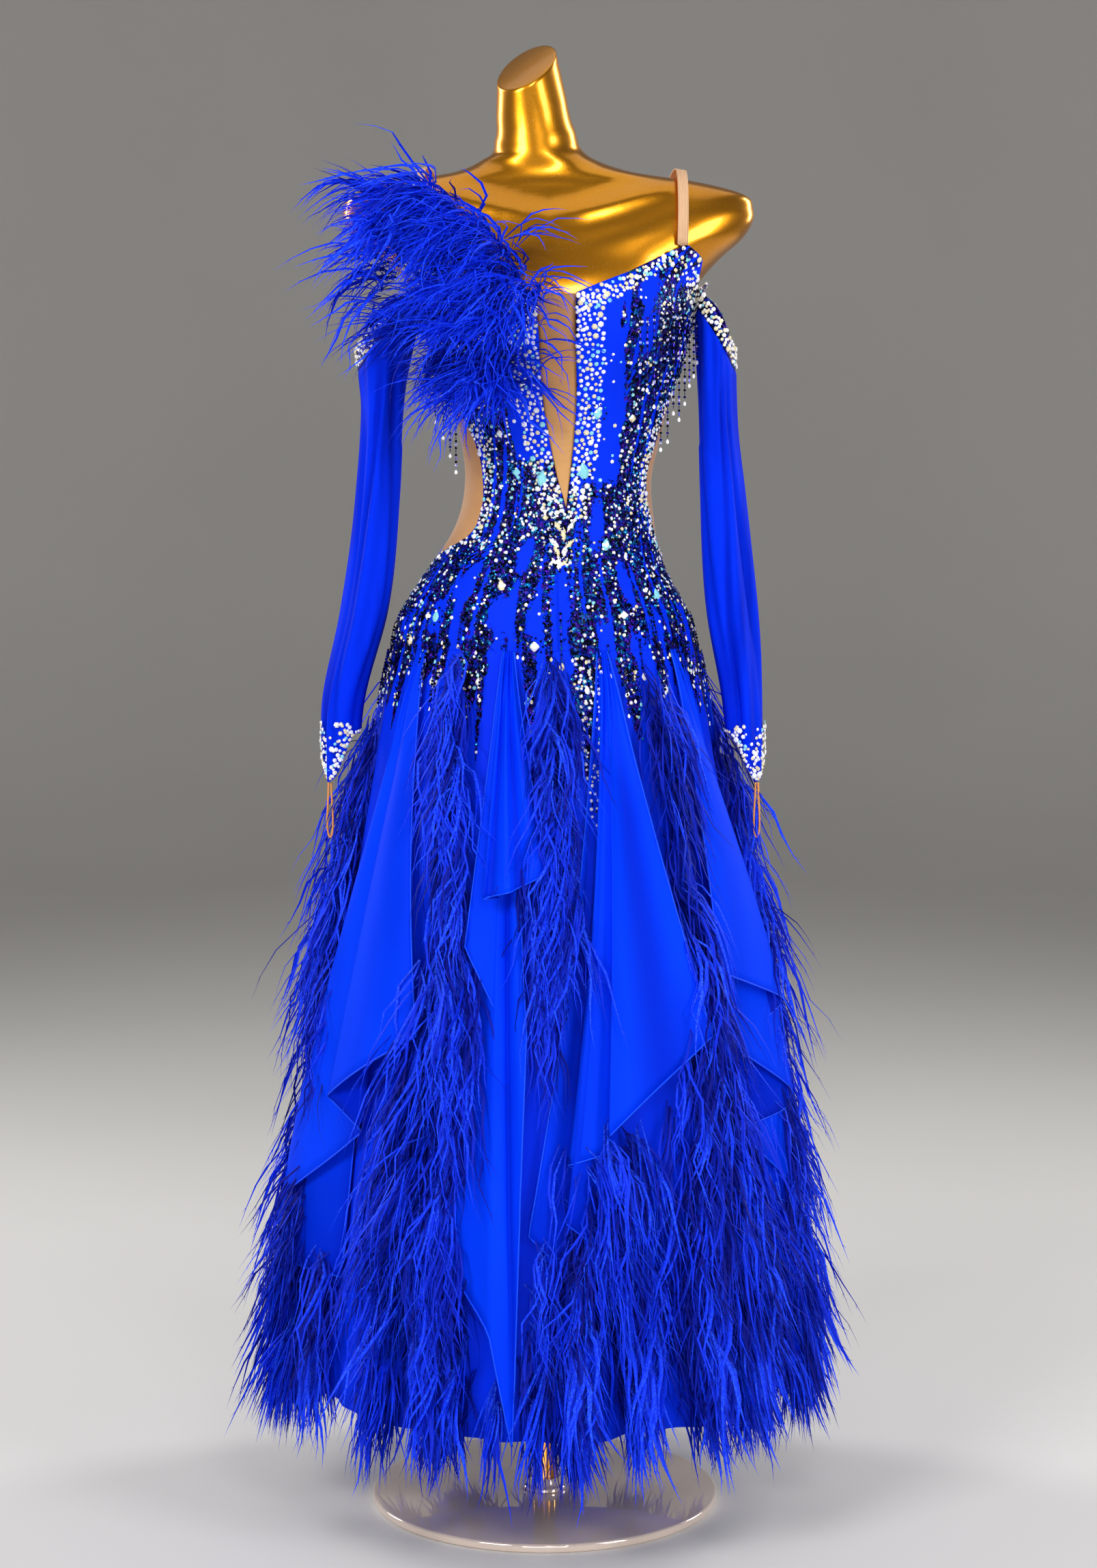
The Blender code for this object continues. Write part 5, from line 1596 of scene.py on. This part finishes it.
class MakeUnderskirt(bpy.types.Operator):
    """Make the crepe underskirt, with its beaded daggers below the hip and its lobed hem"""

    bl_idname = "gown.underskirt"
    bl_label = "Underskirt"

    def execute(self, context):
        for word, start, waist in (("front", -90.0, "beaded_front_left"), ("back", 90.0, "bodice_back_panel")):
            azimuths = np.linspace(start, start + 180.0, 161)
            rows, beading = (
                [[read(azimuth, height) for azimuth in azimuths] for height in SKIRT_LEVELS]
                for read in (underskirt_point, beading_at)
            )
            sheet_of(
                f"underskirt_{word}", rows, make_beaded(), context.scene.gown_sizes.cloth, "blue_crepe",
                [f"skirt_{word}"], "hung", waist, beading=beading,
            )
        return {"FINISHED"}


class MakePanels(bpy.types.Operator):
    """Make the nine chiffon panels that fall from the hip, each with a rolled hem"""

    bl_idname = "gown.panels"
    bl_label = "Chiffon panels"

    def execute(self, context):
        sizes = context.scene.gown_sizes
        looks = make_chiffon(), sizes.cloth * CHIFFON_SHARE, "blue_chiffon"
        for number, drape in enumerate(DRAPES, start=1):
            waist = "bodice_back_panel" if 90.0 < drape.top_left < 270.0 else "beaded_front_left"
            rows, fold = drape.grid()
            hemmed = [rows]
            if number == 2:
                flap, flap_fold = FLAP.grid()
                sheet_of("chiffon_flap", flap, *looks, [], "hung", waist, fan=True, fold=flap_fold)
                hemmed.append(flap)
            threads = bmesh.new()
            for grid in hemmed:
                left, right = [row[0] for row in reversed(grid)], [row[-1] for row in grid]
                tube_along(threads, [*left, *grid[0][1:-1], *right], sizes.rolled_hem)
            hem = settle(object_from(threads, f"rolled_hem_{number}", make_hem_thread()), "blue_chiffon")
            sheet_of(
                f"chiffon_{number}", rows, *looks, [f"chiffon_panel_{number}"], "hung", waist, fan=True,
                extras=[hem], fold=fold,
            )
        return {"FINISHED"}


# --- The feathers

def boa_axis(boa, height):
    """Return the azimuth of a boa's core at this height."""
    hip, hem, _ = boa
    return hip + (hem - hip) * min(1.0, (HIP_SEAM - height) / (HIP_SEAM - BOA_STRAIGHT_BELOW))


def comb_of_strands(places, rng, root, step, heading, length, kinds, tint, count, stray=7.0):
    """Add a row of nearly parallel strands, as barbs stand along a quill. step leads from one root to the next.
    """
    first, number = kinds
    lead = first + int(rng.integers(0, number))
    for index in range(count):
        where = root + step * index + Vector(rng.normal(0.0, 0.0016, 3))
        turn = Euler([radians(a) for a in rng.normal(0.0, stray, 3)]).to_matrix() @ heading
        kind = lead if rng.random() < 0.6 else first + int(rng.integers(0, number))
        size = length * rng.uniform(0.72, 1.1)
        places.add(where, turn, size, kind, float(np.clip(tint + rng.normal(0, 0.14), 0, 1)))


def drooping_frame(outward, down=DOWN):
    """Return the turn that takes a strand's X outwards and its Z away from where it droops."""
    up = -down.normalized()
    across = up.cross(outward).normalized()
    return Matrix((across.cross(up).normalized(), across, up)).transposed()


def behind_from_front(point):
    """Return the azimuth on the skirt that a point near the skirt's front half hides from the front."""
    half_width, front, _ = SKIRT_PROFILE.at(point.z)
    across = min(1.0, abs(point.x) / (half_width + 0.018))
    return copysign(degrees(asin(across)), point.x)


# The cuffs' points, where the finger loops hang
LOOP_ROOTS = [sleeve_point(side, CUFF_POINT, 1.0) for side, _ in SIDES]


def hides_gown(root, heading, azimuth, height, swing, length):
    """Say whether a strand of this length would hang before a panel or a finger loop."""
    if panel_covers(azimuth + swing, height - length * 0.80, -0.8):
        return True
    if abs(signed(azimuth)) >= 90.0:
        return False
    for share in (0.35, 0.65, 0.95):
        place = root + heading * (length * STRAND_REACH) * share**0.6 - Vector((0.0, 0.0, length * 0.85 * share))
        if panel_covers(behind_from_front(place), place.z, -0.7):
            return True
        if any(abs(place.x - loop.x) < 0.026 and -0.085 < place.z - loop.z < 0.010 for loop in LOOP_ROOTS):
            return True
    return False


def try_boa_strands(places, rng, boa, feather_length):
    """Pick a place in a boa, and add a comb of strands there if the place suits one."""
    height = float(BOA_LOWEST_ROOT + (boa[2] - BOA_LOWEST_ROOT) * rng.random() ** 1.15)
    spread, length = straight_row(BOA_SPREAD, height)
    if rng.random() > 0.46 + 0.54 * spread / BOA_WIDEST:
        return
    place = float(np.clip(rng.normal(0.0, 0.50), -1.0, 1.0))
    azimuth = boa_axis(boa, height) + place * spread * 0.92
    fan = (1.0 if place + rng.normal(0.0, 0.45) > 0 else -1.0) * rng.uniform(4.0, 62.0)
    length *= rng.uniform(0.82, 1.15)
    if height < 0.30:
        gap, half = min(HEM_GAPS, key=lambda row: abs(signed(azimuth - row[0])) - row[1])
        from_gap = signed(azimuth - gap)
        if height < 0.235 and abs(from_gap) < half * (0.8 if height > 0.19 else 1.0):
            return
        # The strands beside a gap lean away from it, and close up into a point.
        lean = 70.0 * exp(-max(0.0, abs(from_gap) - half) / 4.0)
        fan = copysign(lean, from_gap) + rng.normal(0.0, 14.0)
    swing = degrees(length * STRAND_REACH * sin(radians(fan)) / 0.23)
    angle = radians(azimuth + fan)
    heading = Vector((sin(angle), -cos(angle), 0.0))
    above = rng.random() < 0.42
    root = skirt_point(azimuth, height, rng.uniform(0.008, 0.017) if above else rng.uniform(0.001, 0.008))
    hides = hides_gown(root, heading, azimuth, height, swing, length)
    if panel_covers(azimuth, height, 0.5) or (hides and rng.random() < 0.97):
        return
    length = min(length, (height - rng.uniform(0.066, 0.096)) / 0.88) * feather_length
    if length < 0.045:
        return
    # Painted shade: strands rooted close to the skirt lie under the others and get a dark tint, and the outer ones a
    # light tint.
    tint = rng.uniform(0.60, 1.0) if above else rng.uniform(0.05, 0.50)
    step = Vector((rng.normal(0.0, 0.0012), rng.normal(0.0, 0.0012), 0.0040))
    kinds, count = (0, len(STRANDS)), 7
    if height < 0.26:
        kinds = (len(STRANDS), len(HEM_STRANDS))
    elif height > 0.36 and abs(abs(signed(azimuth)) - 92.0) < 20.0 and rng.random() < 0.16:
        kinds, count, length = (len(STRANDS) + len(HEM_STRANDS), len(STRAY_STRANDS)), 3, length * 0.7
    comb_of_strands(places, rng, root, step, drooping_frame(heading), length, kinds, tint, count)


class MakeBoas(bpy.types.Operator):
    """Make the nine feather boas that hang between the panels, strand by strand"""

    bl_idname = "gown.boas"
    bl_label = "Feather boas"

    def execute(self, context):
        sizes = context.scene.gown_sizes
        for number, boa in enumerate(BOAS, start=1):
            rng = np.random.default_rng(100 + number)
            places = Places()
            for _ in range(MOST_TRIES):
                if len(places.rows) >= sizes.strands_per_boa:
                    break
                try_boa_strands(places, rng, boa, sizes.feather_length)
            kit = [strand_shape(*strand) for strand in STRANDS]
            kit += [strand_shape(*strand, HEM_STRAND_WIDTH) for strand in HEM_STRANDS]
            kit += [strand_shape(*strand) for strand in STRAY_STRANDS]
            feathers = place_kit(f"ostrich_boa_{number}", kit, places, make_feather())
            settle(feathers, "blue_feather", f"feather_boa_{number}")
        return {"FINISHED"}


# The cluster's feathers start from a band that curves down from the shoulder to the V. Columns: height, where the
# band's inner edge is across the body, the band's width, and the way its feathers sweep, in degrees from the left
CLUSTER_BAND = (
    (1.16, -0.034, 0.05, 250.0), (1.2, -0.018, 0.09, 232.0), (1.24, -0.006, 0.115, 210.0),
    (1.27, -0.014, 0.12, 190.0), (1.3, -0.044, 0.1, 174.0), (1.335, -0.082, 0.07, 160.0),
)
CLUSTER_PLUMES = 66
# Single feathers that curl away to the V's other side. Columns: across, height, way from the left in degrees, length
CURLS = (
    (-0.058, 1.312, 72.0, 0.05), (-0.04, 1.298, 24.0, 0.085), (-0.03, 1.29, 8.0, 0.074), (-0.014, 1.262, 10.0, 0.09),
    (-0.008, 1.252, -6.0, 0.06), (-0.006, 1.236, -12.0, 0.048), (-0.008, 1.216, -38.0, 0.056),
    (-0.01, 1.198, -70.0, 0.085), (-0.012, 1.182, -60.0, 0.064), (-0.022, 1.3, 40.0, 0.056),
)


def azimuth_across(across, height):
    """Return the azimuth of the bodice's front at this distance across."""
    half_width, _, _, middle, bluntness = FIGURE_PROFILE.at(height)
    share = min(0.985, abs(across - middle) / (half_width + BODICE_GAP + BODICE_WALL))
    return copysign(degrees(asin(share ** (bluntness / 2))), across - middle)


class MakeShoulderFeathers(bpy.types.Operator):
    """Make the big cluster of feathers on the right shoulder and bust, plume by plume"""

    bl_idname = "gown.shoulder_feathers"
    bl_label = "Shoulder feathers"

    def execute(self, context):
        sizes = context.scene.gown_sizes
        rng = np.random.default_rng(77)
        places = Places()
        count = sizes.strands_on_shoulder // CLUSTER_PLUMES
        for plume in range(CLUSTER_PLUMES):
            height = rng.uniform(1.160, 1.335)
            inner, width, sweep = straight_row(CLUSTER_BAND, height)
            share = rng.random() ** 1.25
            azimuth = azimuth_across(inner - width * share, height)
            outward = outward_at(bodice_point, azimuth, height)
            # Beside the V they hang down more.
            aim = radians(min(260.0, rng.normal(sweep + 30.0 * max(0.0, 0.4 - share) / 0.4, 26.0)))
            flow = Vector((cos(aim), 0.0, sin(aim)))
            flow = (flow - outward * flow.dot(outward)).normalized()
            lift = radians(rng.uniform(15.0, 60.0))
            quill = (flow * cos(lift) + outward * sin(lift)).normalized()
            down = DOWN + flow * (0.25 + 0.40 * max(0.0, flow.z)) + outward * 0.05
            quill_length = rng.uniform(0.016, 0.034)
            usual = rng.uniform(0.100, 0.128) if rng.random() < 0.22 else rng.uniform(0.062, 0.094)
            usual *= (1.0 - 0.20 * share) * (0.82 + 0.18 * eased(height, 1.16, 1.22))
            top = rng.random() < 0.6
            for index in range(count // 6 + 1):
                along = index / (count / 6)
                root = bodice_point(azimuth, height, 0.002) + quill * quill_length * along
                side = outward.cross(quill) * (1.0 if index % 2 else -1.0)
                leave = quill * rng.uniform(0.7, 1.2) + side * rng.uniform(0.1, 0.7) + outward * rng.uniform(0.0, 0.5)
                # Painted shade: plumes lying underneath, and the inner strands of each, get a darker tint.
                tint = rng.uniform(0.65, 1.0) if top or along > 0.5 else rng.uniform(0.2, 0.7)
                step = quill * 0.0026 + Vector(rng.normal(0.0, 0.0012, 3))
                comb_of_strands(
                    places, rng, root, step, drooping_frame(leave.normalized(), down),
                    usual * rng.uniform(0.85, 1.15) * sizes.feather_length, (0, len(CROWN_STRANDS)), tint, 6, 17.0,
                )
        for across, height, aim, length in CURLS:
            azimuth = azimuth_across(across, height)
            outward = outward_at(bodice_point, azimuth, height)
            flow = Vector((cos(radians(aim)), -0.5, sin(radians(aim)))).normalized()
            root = bodice_point(azimuth, height, 0.006)
            down = DOWN + flow * 0.5
            comb_of_strands(
                places, rng, root, flow * 0.003, drooping_frame(flow, down), length * 1.15 * sizes.feather_length,
                (0, len(CROWN_STRANDS)), 0.8, 3, 14.0,
            )
        kit = [strand_shape(*strand, CROWN_STRAND_WIDTH) for strand in CROWN_STRANDS]
        feathers = place_kit("ostrich_cluster", kit, places, make_feather())
        settle(feathers, "blue_feather", "shoulder_feathers")
        return {"FINISHED"}


# --- Stones, sequins and beads

# Tints and cuts of the stones
WHITE, GOLD, AQUA = 0.20, 0.65, 0.95
FLAT, DROP, SQUARE, LEAF = range(4)
BEAD_PITCH = 0.0034
# How many lie on the fronts, on the fronts and the rest together, and how many sequins and hip strings there are
FRONT_STONES = 1350
ALL_STONES = 1900
SEQUINS = 9500
HIP_STRINGS = 75
# The least beading on which stones and beads are sewn
THICK_BEADING = 0.6
# Single large stones. Columns: azimuth, height, shape, length, tint, spin in degrees
FANCY_STONES = (
    (1.6, 1.018, LEAF, 0.014, GOLD, 34), (8.8, 1.018, LEAF, 0.014, WHITE, -34), (5.2, 1.01, LEAF, 0.016, GOLD, 0),
    (1.0, 1.002, LEAF, 0.014, WHITE, 48), (9.4, 1.001, LEAF, 0.014, GOLD, -48), (3.2, 0.994, LEAF, 0.015, GOLD, 20),
    (7.4, 0.993, LEAF, 0.015, WHITE, -20), (5.3, 0.982, LEAF, 0.017, WHITE, 3), (2.4, 0.984, LEAF, 0.011, WHITE, 36),
    (8.2, 0.983, LEAF, 0.011, GOLD, -36), (14.7, 1.073, DROP, 0.017, AQUA, 10), (-9.9, 1.066, DROP, 0.017, AQUA, -10),
    (-26.1, 1.0716, SQUARE, 0.009, AQUA, 0), (-3.7, 0.8994, SQUARE, 0.01, WHITE, 0),
    (-52.8, 0.9281, SQUARE, 0.008, WHITE, 0), (-48.0, 0.9281, DROP, 0.012, AQUA, 0),
    (-62.1, 0.904, DROP, 0.013, GOLD, 20), (-20.0, 0.96, DROP, 0.012, GOLD, 15), (30.0, 1.0, DROP, 0.013, AQUA, -15),
    (42.0, 1.125, SQUARE, 0.009, GOLD, 0), (20.0, 1.13, DROP, 0.013, AQUA, -12),
    (33.0, 0.93, SQUARE, 0.009, WHITE, 0), (56.0, 0.95, DROP, 0.012, AQUA, 0), (-36.0, 1.11, SQUARE, 0.008, WHITE, 0),
)
# Bead strings with a drop on the end, and fringes of them. Columns: azimuth, top, length
BEAD_STRINGS = (
    (6.2, 0.932, 0.052), (-14.2, 0.907, 0.028), (-24.0, 0.905, 0.04), (15.0, 0.903, 0.046), (24.0, 0.9, 0.03),
    (-31.0, 0.902, 0.034), (38.0, 0.905, 0.036), (48.0, 0.9, 0.044), (-44.0, 0.9, 0.036), (-56.0, 0.898, 0.03),
    (60.0, 0.9, 0.034), (70.0, 0.9, 0.03),
)
# Strings of beads that hang free from the bust's sides. Columns: across, depth, top, length
HANGING_STRINGS = (
    (0.154, -0.012, 1.222, 0.04), (0.15, -0.028, 1.226, 0.058), (0.145, -0.042, 1.228, 0.07),
    (0.14, -0.052, 1.228, 0.088), (0.134, -0.062, 1.228, 0.104), (0.128, -0.071, 1.228, 0.098),
    (0.122, -0.079, 1.226, 0.124), (0.115, -0.087, 1.226, 0.132), (0.108, -0.094, 1.224, 0.088),
    (0.101, -0.1, 1.222, 0.07), (0.094, -0.106, 1.222, 0.052), (-0.116, -0.036, 1.2, 0.05),
    (-0.109, -0.048, 1.2, 0.078), (-0.101, -0.058, 1.198, 0.092), (-0.094, -0.066, 1.192, 0.104),
    (-0.088, -0.072, 1.184, 0.112),
)


def metres_in_degree(point, azimuth, height):
    """Return how far apart two points a degree apart are."""
    return (point(azimuth + 0.5, height) - point(azimuth - 0.5, height)).length


def stone_tint(rng, shares=(0.56, 0.32, 0.12)):
    """Pick whether a stone is white, gold or aqua."""
    return float(rng.choice((WHITE, GOLD, AQUA), p=shares))


def add_stone(places, rng, azimuth, height, size, kind=FLAT, tint=None, spin=None):
    """Set one stone on the gown."""
    tint = stone_tint(rng) if tint is None else tint
    places.on_gown(azimuth, height, 0.0003, size, kind, tint, rng.uniform(0, 1.05) if spin is None else spin)


def scattered_spots(rng, count, length, width, sizes=(0.0036, 0.0048, 0.0064), gap=0.0004):
    """Pick spots and sizes for stones over a band, thickly but none of them touching.

    Each spot is its distance along the band, its distance across, and its size. width gives the band's width by the
    share of its length.
    """
    taken = []
    for _ in range(count * 30):
        if len(taken) >= count:
            break
        along, across = rng.uniform(0.0, length), rng.uniform(0.0, 1.0) ** 1.1
        size = float(rng.choice(sizes, p=(0.34, 0.44, 0.22)))
        spot = (along, across * width(along / length))
        if any(hypot(spot[0] - x, spot[1] - y) < gap + (size + other) * 0.46 for x, y, other in taken):
            continue
        taken.append((*spot, size))
    return taken


def stone_border(places, rng, point_at, count, length, width):
    """Scatter stones over a band on the bodice. point_at gives an azimuth and height from a spot in the band."""
    for along, across, size in scattered_spots(rng, count, length, width):
        azimuth, height = point_at(along, across)
        add_stone(places, rng, azimuth, height, size)


def edge_path(side, edge, start):
    """Return the function that stone_border needs for a band beside a front's V edge, 0, or its side edge, 1."""
    inwards = -side if edge else side

    def point_at(along, across):
        height = start + along
        azimuth = edges_of(side, height)[edge]
        return azimuth + inwards * (across + 0.0016) / metres_in_degree(bodice_point, azimuth, height), height

    return point_at


def neckline_path(side):
    """Return the function that stone_border needs for a band under the neckline, and the band's length."""
    places = []
    for share in np.linspace(0.0, 1.0, 60):
        height = neckline(share) - 0.0015
        v_edge, side_edge = edges_of(side, height)[:2]
        places.append((v_edge + (side_edge - v_edge) * share, height))
    points = [bodice_point(*place) for place in places]
    runs = [path_length(points[: k + 1]) for k in range(len(points))]
    rows = np.array(places)

    def point_at(along, across):
        azimuth, height = (float(np.interp(along, runs, rows[:, i])) for i in (0, 1))
        return azimuth, height - 0.0012 - across * 1.12

    return point_at, runs[-1]


def set_on_sleeve(places, rng, side, angle, share, size):
    """Set one stone on a sleeve."""
    point = sleeve_point(side, angle, share, 0.0008)
    outward = (sleeve_point(side, angle, share, 0.003) - point).normalized()
    places.add_on(point, outward, size, FLAT, stone_tint(rng), rng.uniform(0, 1.05))


def jewels(name, places, size=1.0):
    """Make a piece of all the rhinestones in a list of places."""
    return settle(place_kit(name, kit_of_stones(), places, make_rhinestone(), size), "jewel_band")


class MakeStones(bpy.types.Operator):
    """Set the rhinestones: paved borders, arm bands and cuffs, and single stones over the beading"""

    bl_idname = "gown.stones"
    bl_label = "Rhinestones"

    pieces = "stone_borders", "scattered_stones", "sleeve_stones"

    def execute(self, context):
        size = context.scene.gown_sizes.stone
        rng = np.random.default_rng(21)
        for name, fill in zip(self.pieces, (self.fill_borders, self.scatter, self.fill_sleeves)):
            places = Places()
            fill(places, rng)
            jewels(name, places, size)
        return {"FINISHED"}

    def fill_borders(self, borders, rng):
        """Pave the borders beside the V, beside the waist's mesh and under the neckline."""
        low, high = V_TIP - 0.008, neckline(0.0) - 0.002
        for side, _ in SIDES:
            path, width = edge_path(side, 0, low), lambda t: 0.020 + 0.007 * min(1.0, t * 1.5)
            stone_border(borders, rng, path, 185, high - low, width)
            stone_border(borders, rng, edge_path(side, 1, 0.986), 88, 0.178, lambda t: 0.012)
            path, length = neckline_path(side)
            stone_border(borders, rng, path, 135, length, lambda t: 0.018)

    def scatter(self, scattered, rng):
        """Scatter stones over the fronts and the hips, with a pointed patch below the hip, and set the large ones."""
        while len(scattered.rows) < FRONT_STONES:
            side = -1 if rng.random() < 0.5 else 1
            share, level = rng.uniform(0.03, 0.97), rng.uniform(HIP_SEAM + 0.004, V_TOP - 0.004)
            _, azimuth, height = front_point(side, share, level)
            if beading_at(azimuth, height) < THICK_BEADING and rng.random() < 0.88:
                continue
            size = rng.choice((0.0027, 0.0034, 0.0044), p=(0.40, 0.42, 0.18))
            add_stone(scattered, rng, azimuth, height, size, tint=stone_tint(rng, (0.66, 0.14, 0.20)))
        while len(scattered.rows) < ALL_STONES:
            azimuth, height = rng.uniform(-89.0, 269.0), rng.uniform(0.73, 0.985)
            if height > HIP_SEAM - 0.002 and not 92.0 < azimuth < 268.0:
                continue
            if HIP_SEAM - 0.002 < height < HIP_SEAM + 0.002 or beading_at(azimuth, height) < THICK_BEADING:
                continue
            add_stone(scattered, rng, azimuth, height, rng.choice((0.0028, 0.0035, 0.0046), p=(0.4, 0.4, 0.2)))
        for along, across, size in scattered_spots(rng, 90, 0.165, lambda t: 0.034 * (1.0 - 0.75 * t), gap=0.0022):
            share = along / 0.165
            azimuth = 15.2 + 1.5 * share + degrees((across - 0.017 * (1.0 - 0.75 * share)) / 0.20)
            add_stone(scattered, rng, azimuth, 0.888 - along, min(size, 0.0048) * 0.86, tint=WHITE)
        for azimuth, height, kind, length, tint, spin in FANCY_STONES:
            add_stone(scattered, rng, azimuth, height, length, kind, tint, radians(spin))

    def fill_sleeves(self, sleeves, rng):
        """Pave the arm bands and the cuffs' points, and set a row round each cuff."""
        for side, _ in SIDES:
            for along, across, size in scattered_spots(rng, 215, 0.240, lambda t: 0.0165):
                set_on_sleeve(sleeves, rng, side, 2 * pi * along / 0.240, across / SLEEVE_LENGTH, size)
            pointed = scattered_spots(rng, 165, 0.115, lambda t: 0.052 * sin(pi * t) ** 0.8)
            for along, across, size in pointed:
                if rng.random() < (0.10 + across / 0.052) * 0.95:
                    continue
                angle = CUFF_POINT + (along / 0.115 - 0.5) * 2.5
                set_on_sleeve(sleeves, rng, side, angle, 1.0 - (0.003 + across) / SLEEVE_LENGTH, size)
            for k in range(42):
                set_on_sleeve(sleeves, rng, side, 2 * pi * k / 42, 0.994, 0.0036)


class MakeSequins(bpy.types.Operator):
    """Sew loose sequins and seed beads over the beaded cloth"""

    bl_idname = "gown.sequins"
    bl_label = "Sequins"

    def execute(self, context):
        rng = np.random.default_rng(8)
        places = Places()
        while len(places.rows) < SEQUINS:
            if rng.random() < 0.72:
                side = -1 if rng.random() < 0.5 else 1
                level = rng.uniform(HIP_SEAM + 0.003, V_TOP - 0.003)
                _, azimuth, height = front_point(side, rng.uniform(0.02, 0.98), level)
            else:
                azimuth, height = rng.uniform(-90.0, 270.0), rng.uniform(0.72, 0.985)
                if height > HIP_SEAM - 0.002 and not 92.0 < azimuth < 268.0:
                    continue
            if beading_at(azimuth, height) < 0.62:
                continue
            places.on_gown(
                azimuth, height, 0.0004, rng.uniform(0.0022, 0.0036), int(rng.random() < 0.22), float(rng.random()),
                rng.uniform(0, 6.28), rng.normal(0.0, 0.32),
            )
        settle(place_kit("sequins", [sequin_disc(), bugle_bead()], places, make_sequin()), "jewel_band")
        return {"FINISHED"}


class MakeBeadStrings(bpy.types.Operator):
    """Make the short strings of beads that lie over the bodice and hips, each with a drop on its end"""

    bl_idname = "gown.bead_strings"
    bl_label = "Bead strings"

    def execute(self, context):
        rng = np.random.default_rng(5)
        forward = Vector((0.0, -1.0, 0.0))
        for side, word in SIDES:
            beads, drops = Places(), Places()
            single, hanging, fancy = (
                [row for row in rows if row[0] * side >= 0] for rows in (BEAD_STRINGS, HANGING_STRINGS, FANCY_STONES)
            )
            for azimuth, top, length in single:
                for k in range(int(length / BEAD_PITCH)):
                    beads.on_gown(azimuth, top - k * BEAD_PITCH, 0.0012, 0.0033, k % 2, float(rng.random()))
                drops.on_gown(azimuth, top - length, 0.0014, 0.0085, DROP, stone_tint(rng))
            hip_strings = 0
            while hip_strings < HIP_STRINGS:
                azimuth = side * (rng.uniform(0.0, 92.0) if rng.random() < 0.72 else rng.uniform(92.0, 179.0))
                top, length = HIP_SEAM + rng.uniform(-0.030, 0.045), rng.uniform(0.014, 0.050)
                if beading_at(azimuth, top) < THICK_BEADING:
                    continue
                hip_strings += 1
                for k in range(int(length / BEAD_PITCH)):
                    height = top - k * BEAD_PITCH
                    lift = 0.0050 if height < HIP_SEAM - 0.004 else 0.0024
                    beads.on_gown(azimuth, height, lift, 0.0032, int(k % 3 == 0), float(rng.random()) * 0.75)
                end = gown_point(azimuth, height - BEAD_PITCH, lift)
                drops.add_on(end, gown_outward(azimuth, height), 0.0046, DROP, stone_tint(rng))
            for x, y, top, length in hanging:
                start = Vector((x, y - 0.007, top))
                for k in range(int(length / BEAD_PITCH)):
                    place = start + DOWN * k * BEAD_PITCH
                    if k % 6 == 1:
                        drops.add_on(place, forward, 0.0026, FLAT, WHITE)
                    beads.add_on(place, forward, 0.0031, k % 2, float(rng.random()) * 0.8)
                drops.add_on(start + DOWN * length, forward, 0.0048, DROP, WHITE)
            # A ring of beads goes round each large stone.
            for azimuth, height, *_ in fancy:
                scale = metres_in_degree(gown_point, azimuth, height)
                for x, y in circle(0.0085, 9):
                    place = gown_point(azimuth + x / scale, height + y, 0.0008)
                    beads.add_on(place, gown_outward(azimuth, height), 0.0026, 0, float(rng.random()))
            strings = place_kit(f"bead_strings_{word}", [round_bead(), bugle_bead()], beads, make_sequin())
            settle(strings, "jewel_band")
            jewels(f"bead_drops_{word}", drops)
        return {"FINISHED"}


# --- The panel and the run

OPERATORS = (
    MakeStage, MakeFingerLoops, MakeStand, MakeForm, MakeBeadStrings, MakeBodice, MakeMesh, MakeStraps, MakeSleeves,
    MakeUnderskirt, MakePanels, MakeBoas, MakeShoulderFeathers, MakeStones, MakeSequins,
)


class GownPanel(bpy.types.Panel):
    """Lists the gown's pieces, with the sizes and colours that they use"""

    bl_idname = "VIEW3D_PT_gown"
    bl_label = "Ballroom gown"
    bl_space_type = "VIEW_3D"
    bl_region_type = "UI"
    bl_category = "Gown"

    def draw(self, context):
        layout = self.layout
        for group in (context.scene.gown_sizes, context.scene.gown_colours):
            box = layout.box()
            for key in group.__annotations__:
                box.prop(group, key)
        for operator in OPERATORS:
            layout.operator(operator.bl_idname)


CLASSES = (GownColours, GownSizes, *OPERATORS, GownPanel)


def register():
    """Register the gown's classes and settings."""
    for cls in CLASSES:
        bpy.utils.register_class(cls)
    bpy.types.Scene.gown_colours = bpy.props.PointerProperty(type=GownColours)
    bpy.types.Scene.gown_sizes = bpy.props.PointerProperty(type=GownSizes)


def unregister():
    """Take the gown's classes and settings away again."""
    del bpy.types.Scene.gown_sizes
    del bpy.types.Scene.gown_colours
    for cls in reversed(CLASSES):
        bpy.utils.unregister_class(cls)


def main():
    """Make every piece in order."""
    register()
    for operator in OPERATORS:
        group, name = operator.bl_idname.split(".")
        getattr(getattr(bpy.ops, group), name)()


if __name__ == "__main__":
    main()
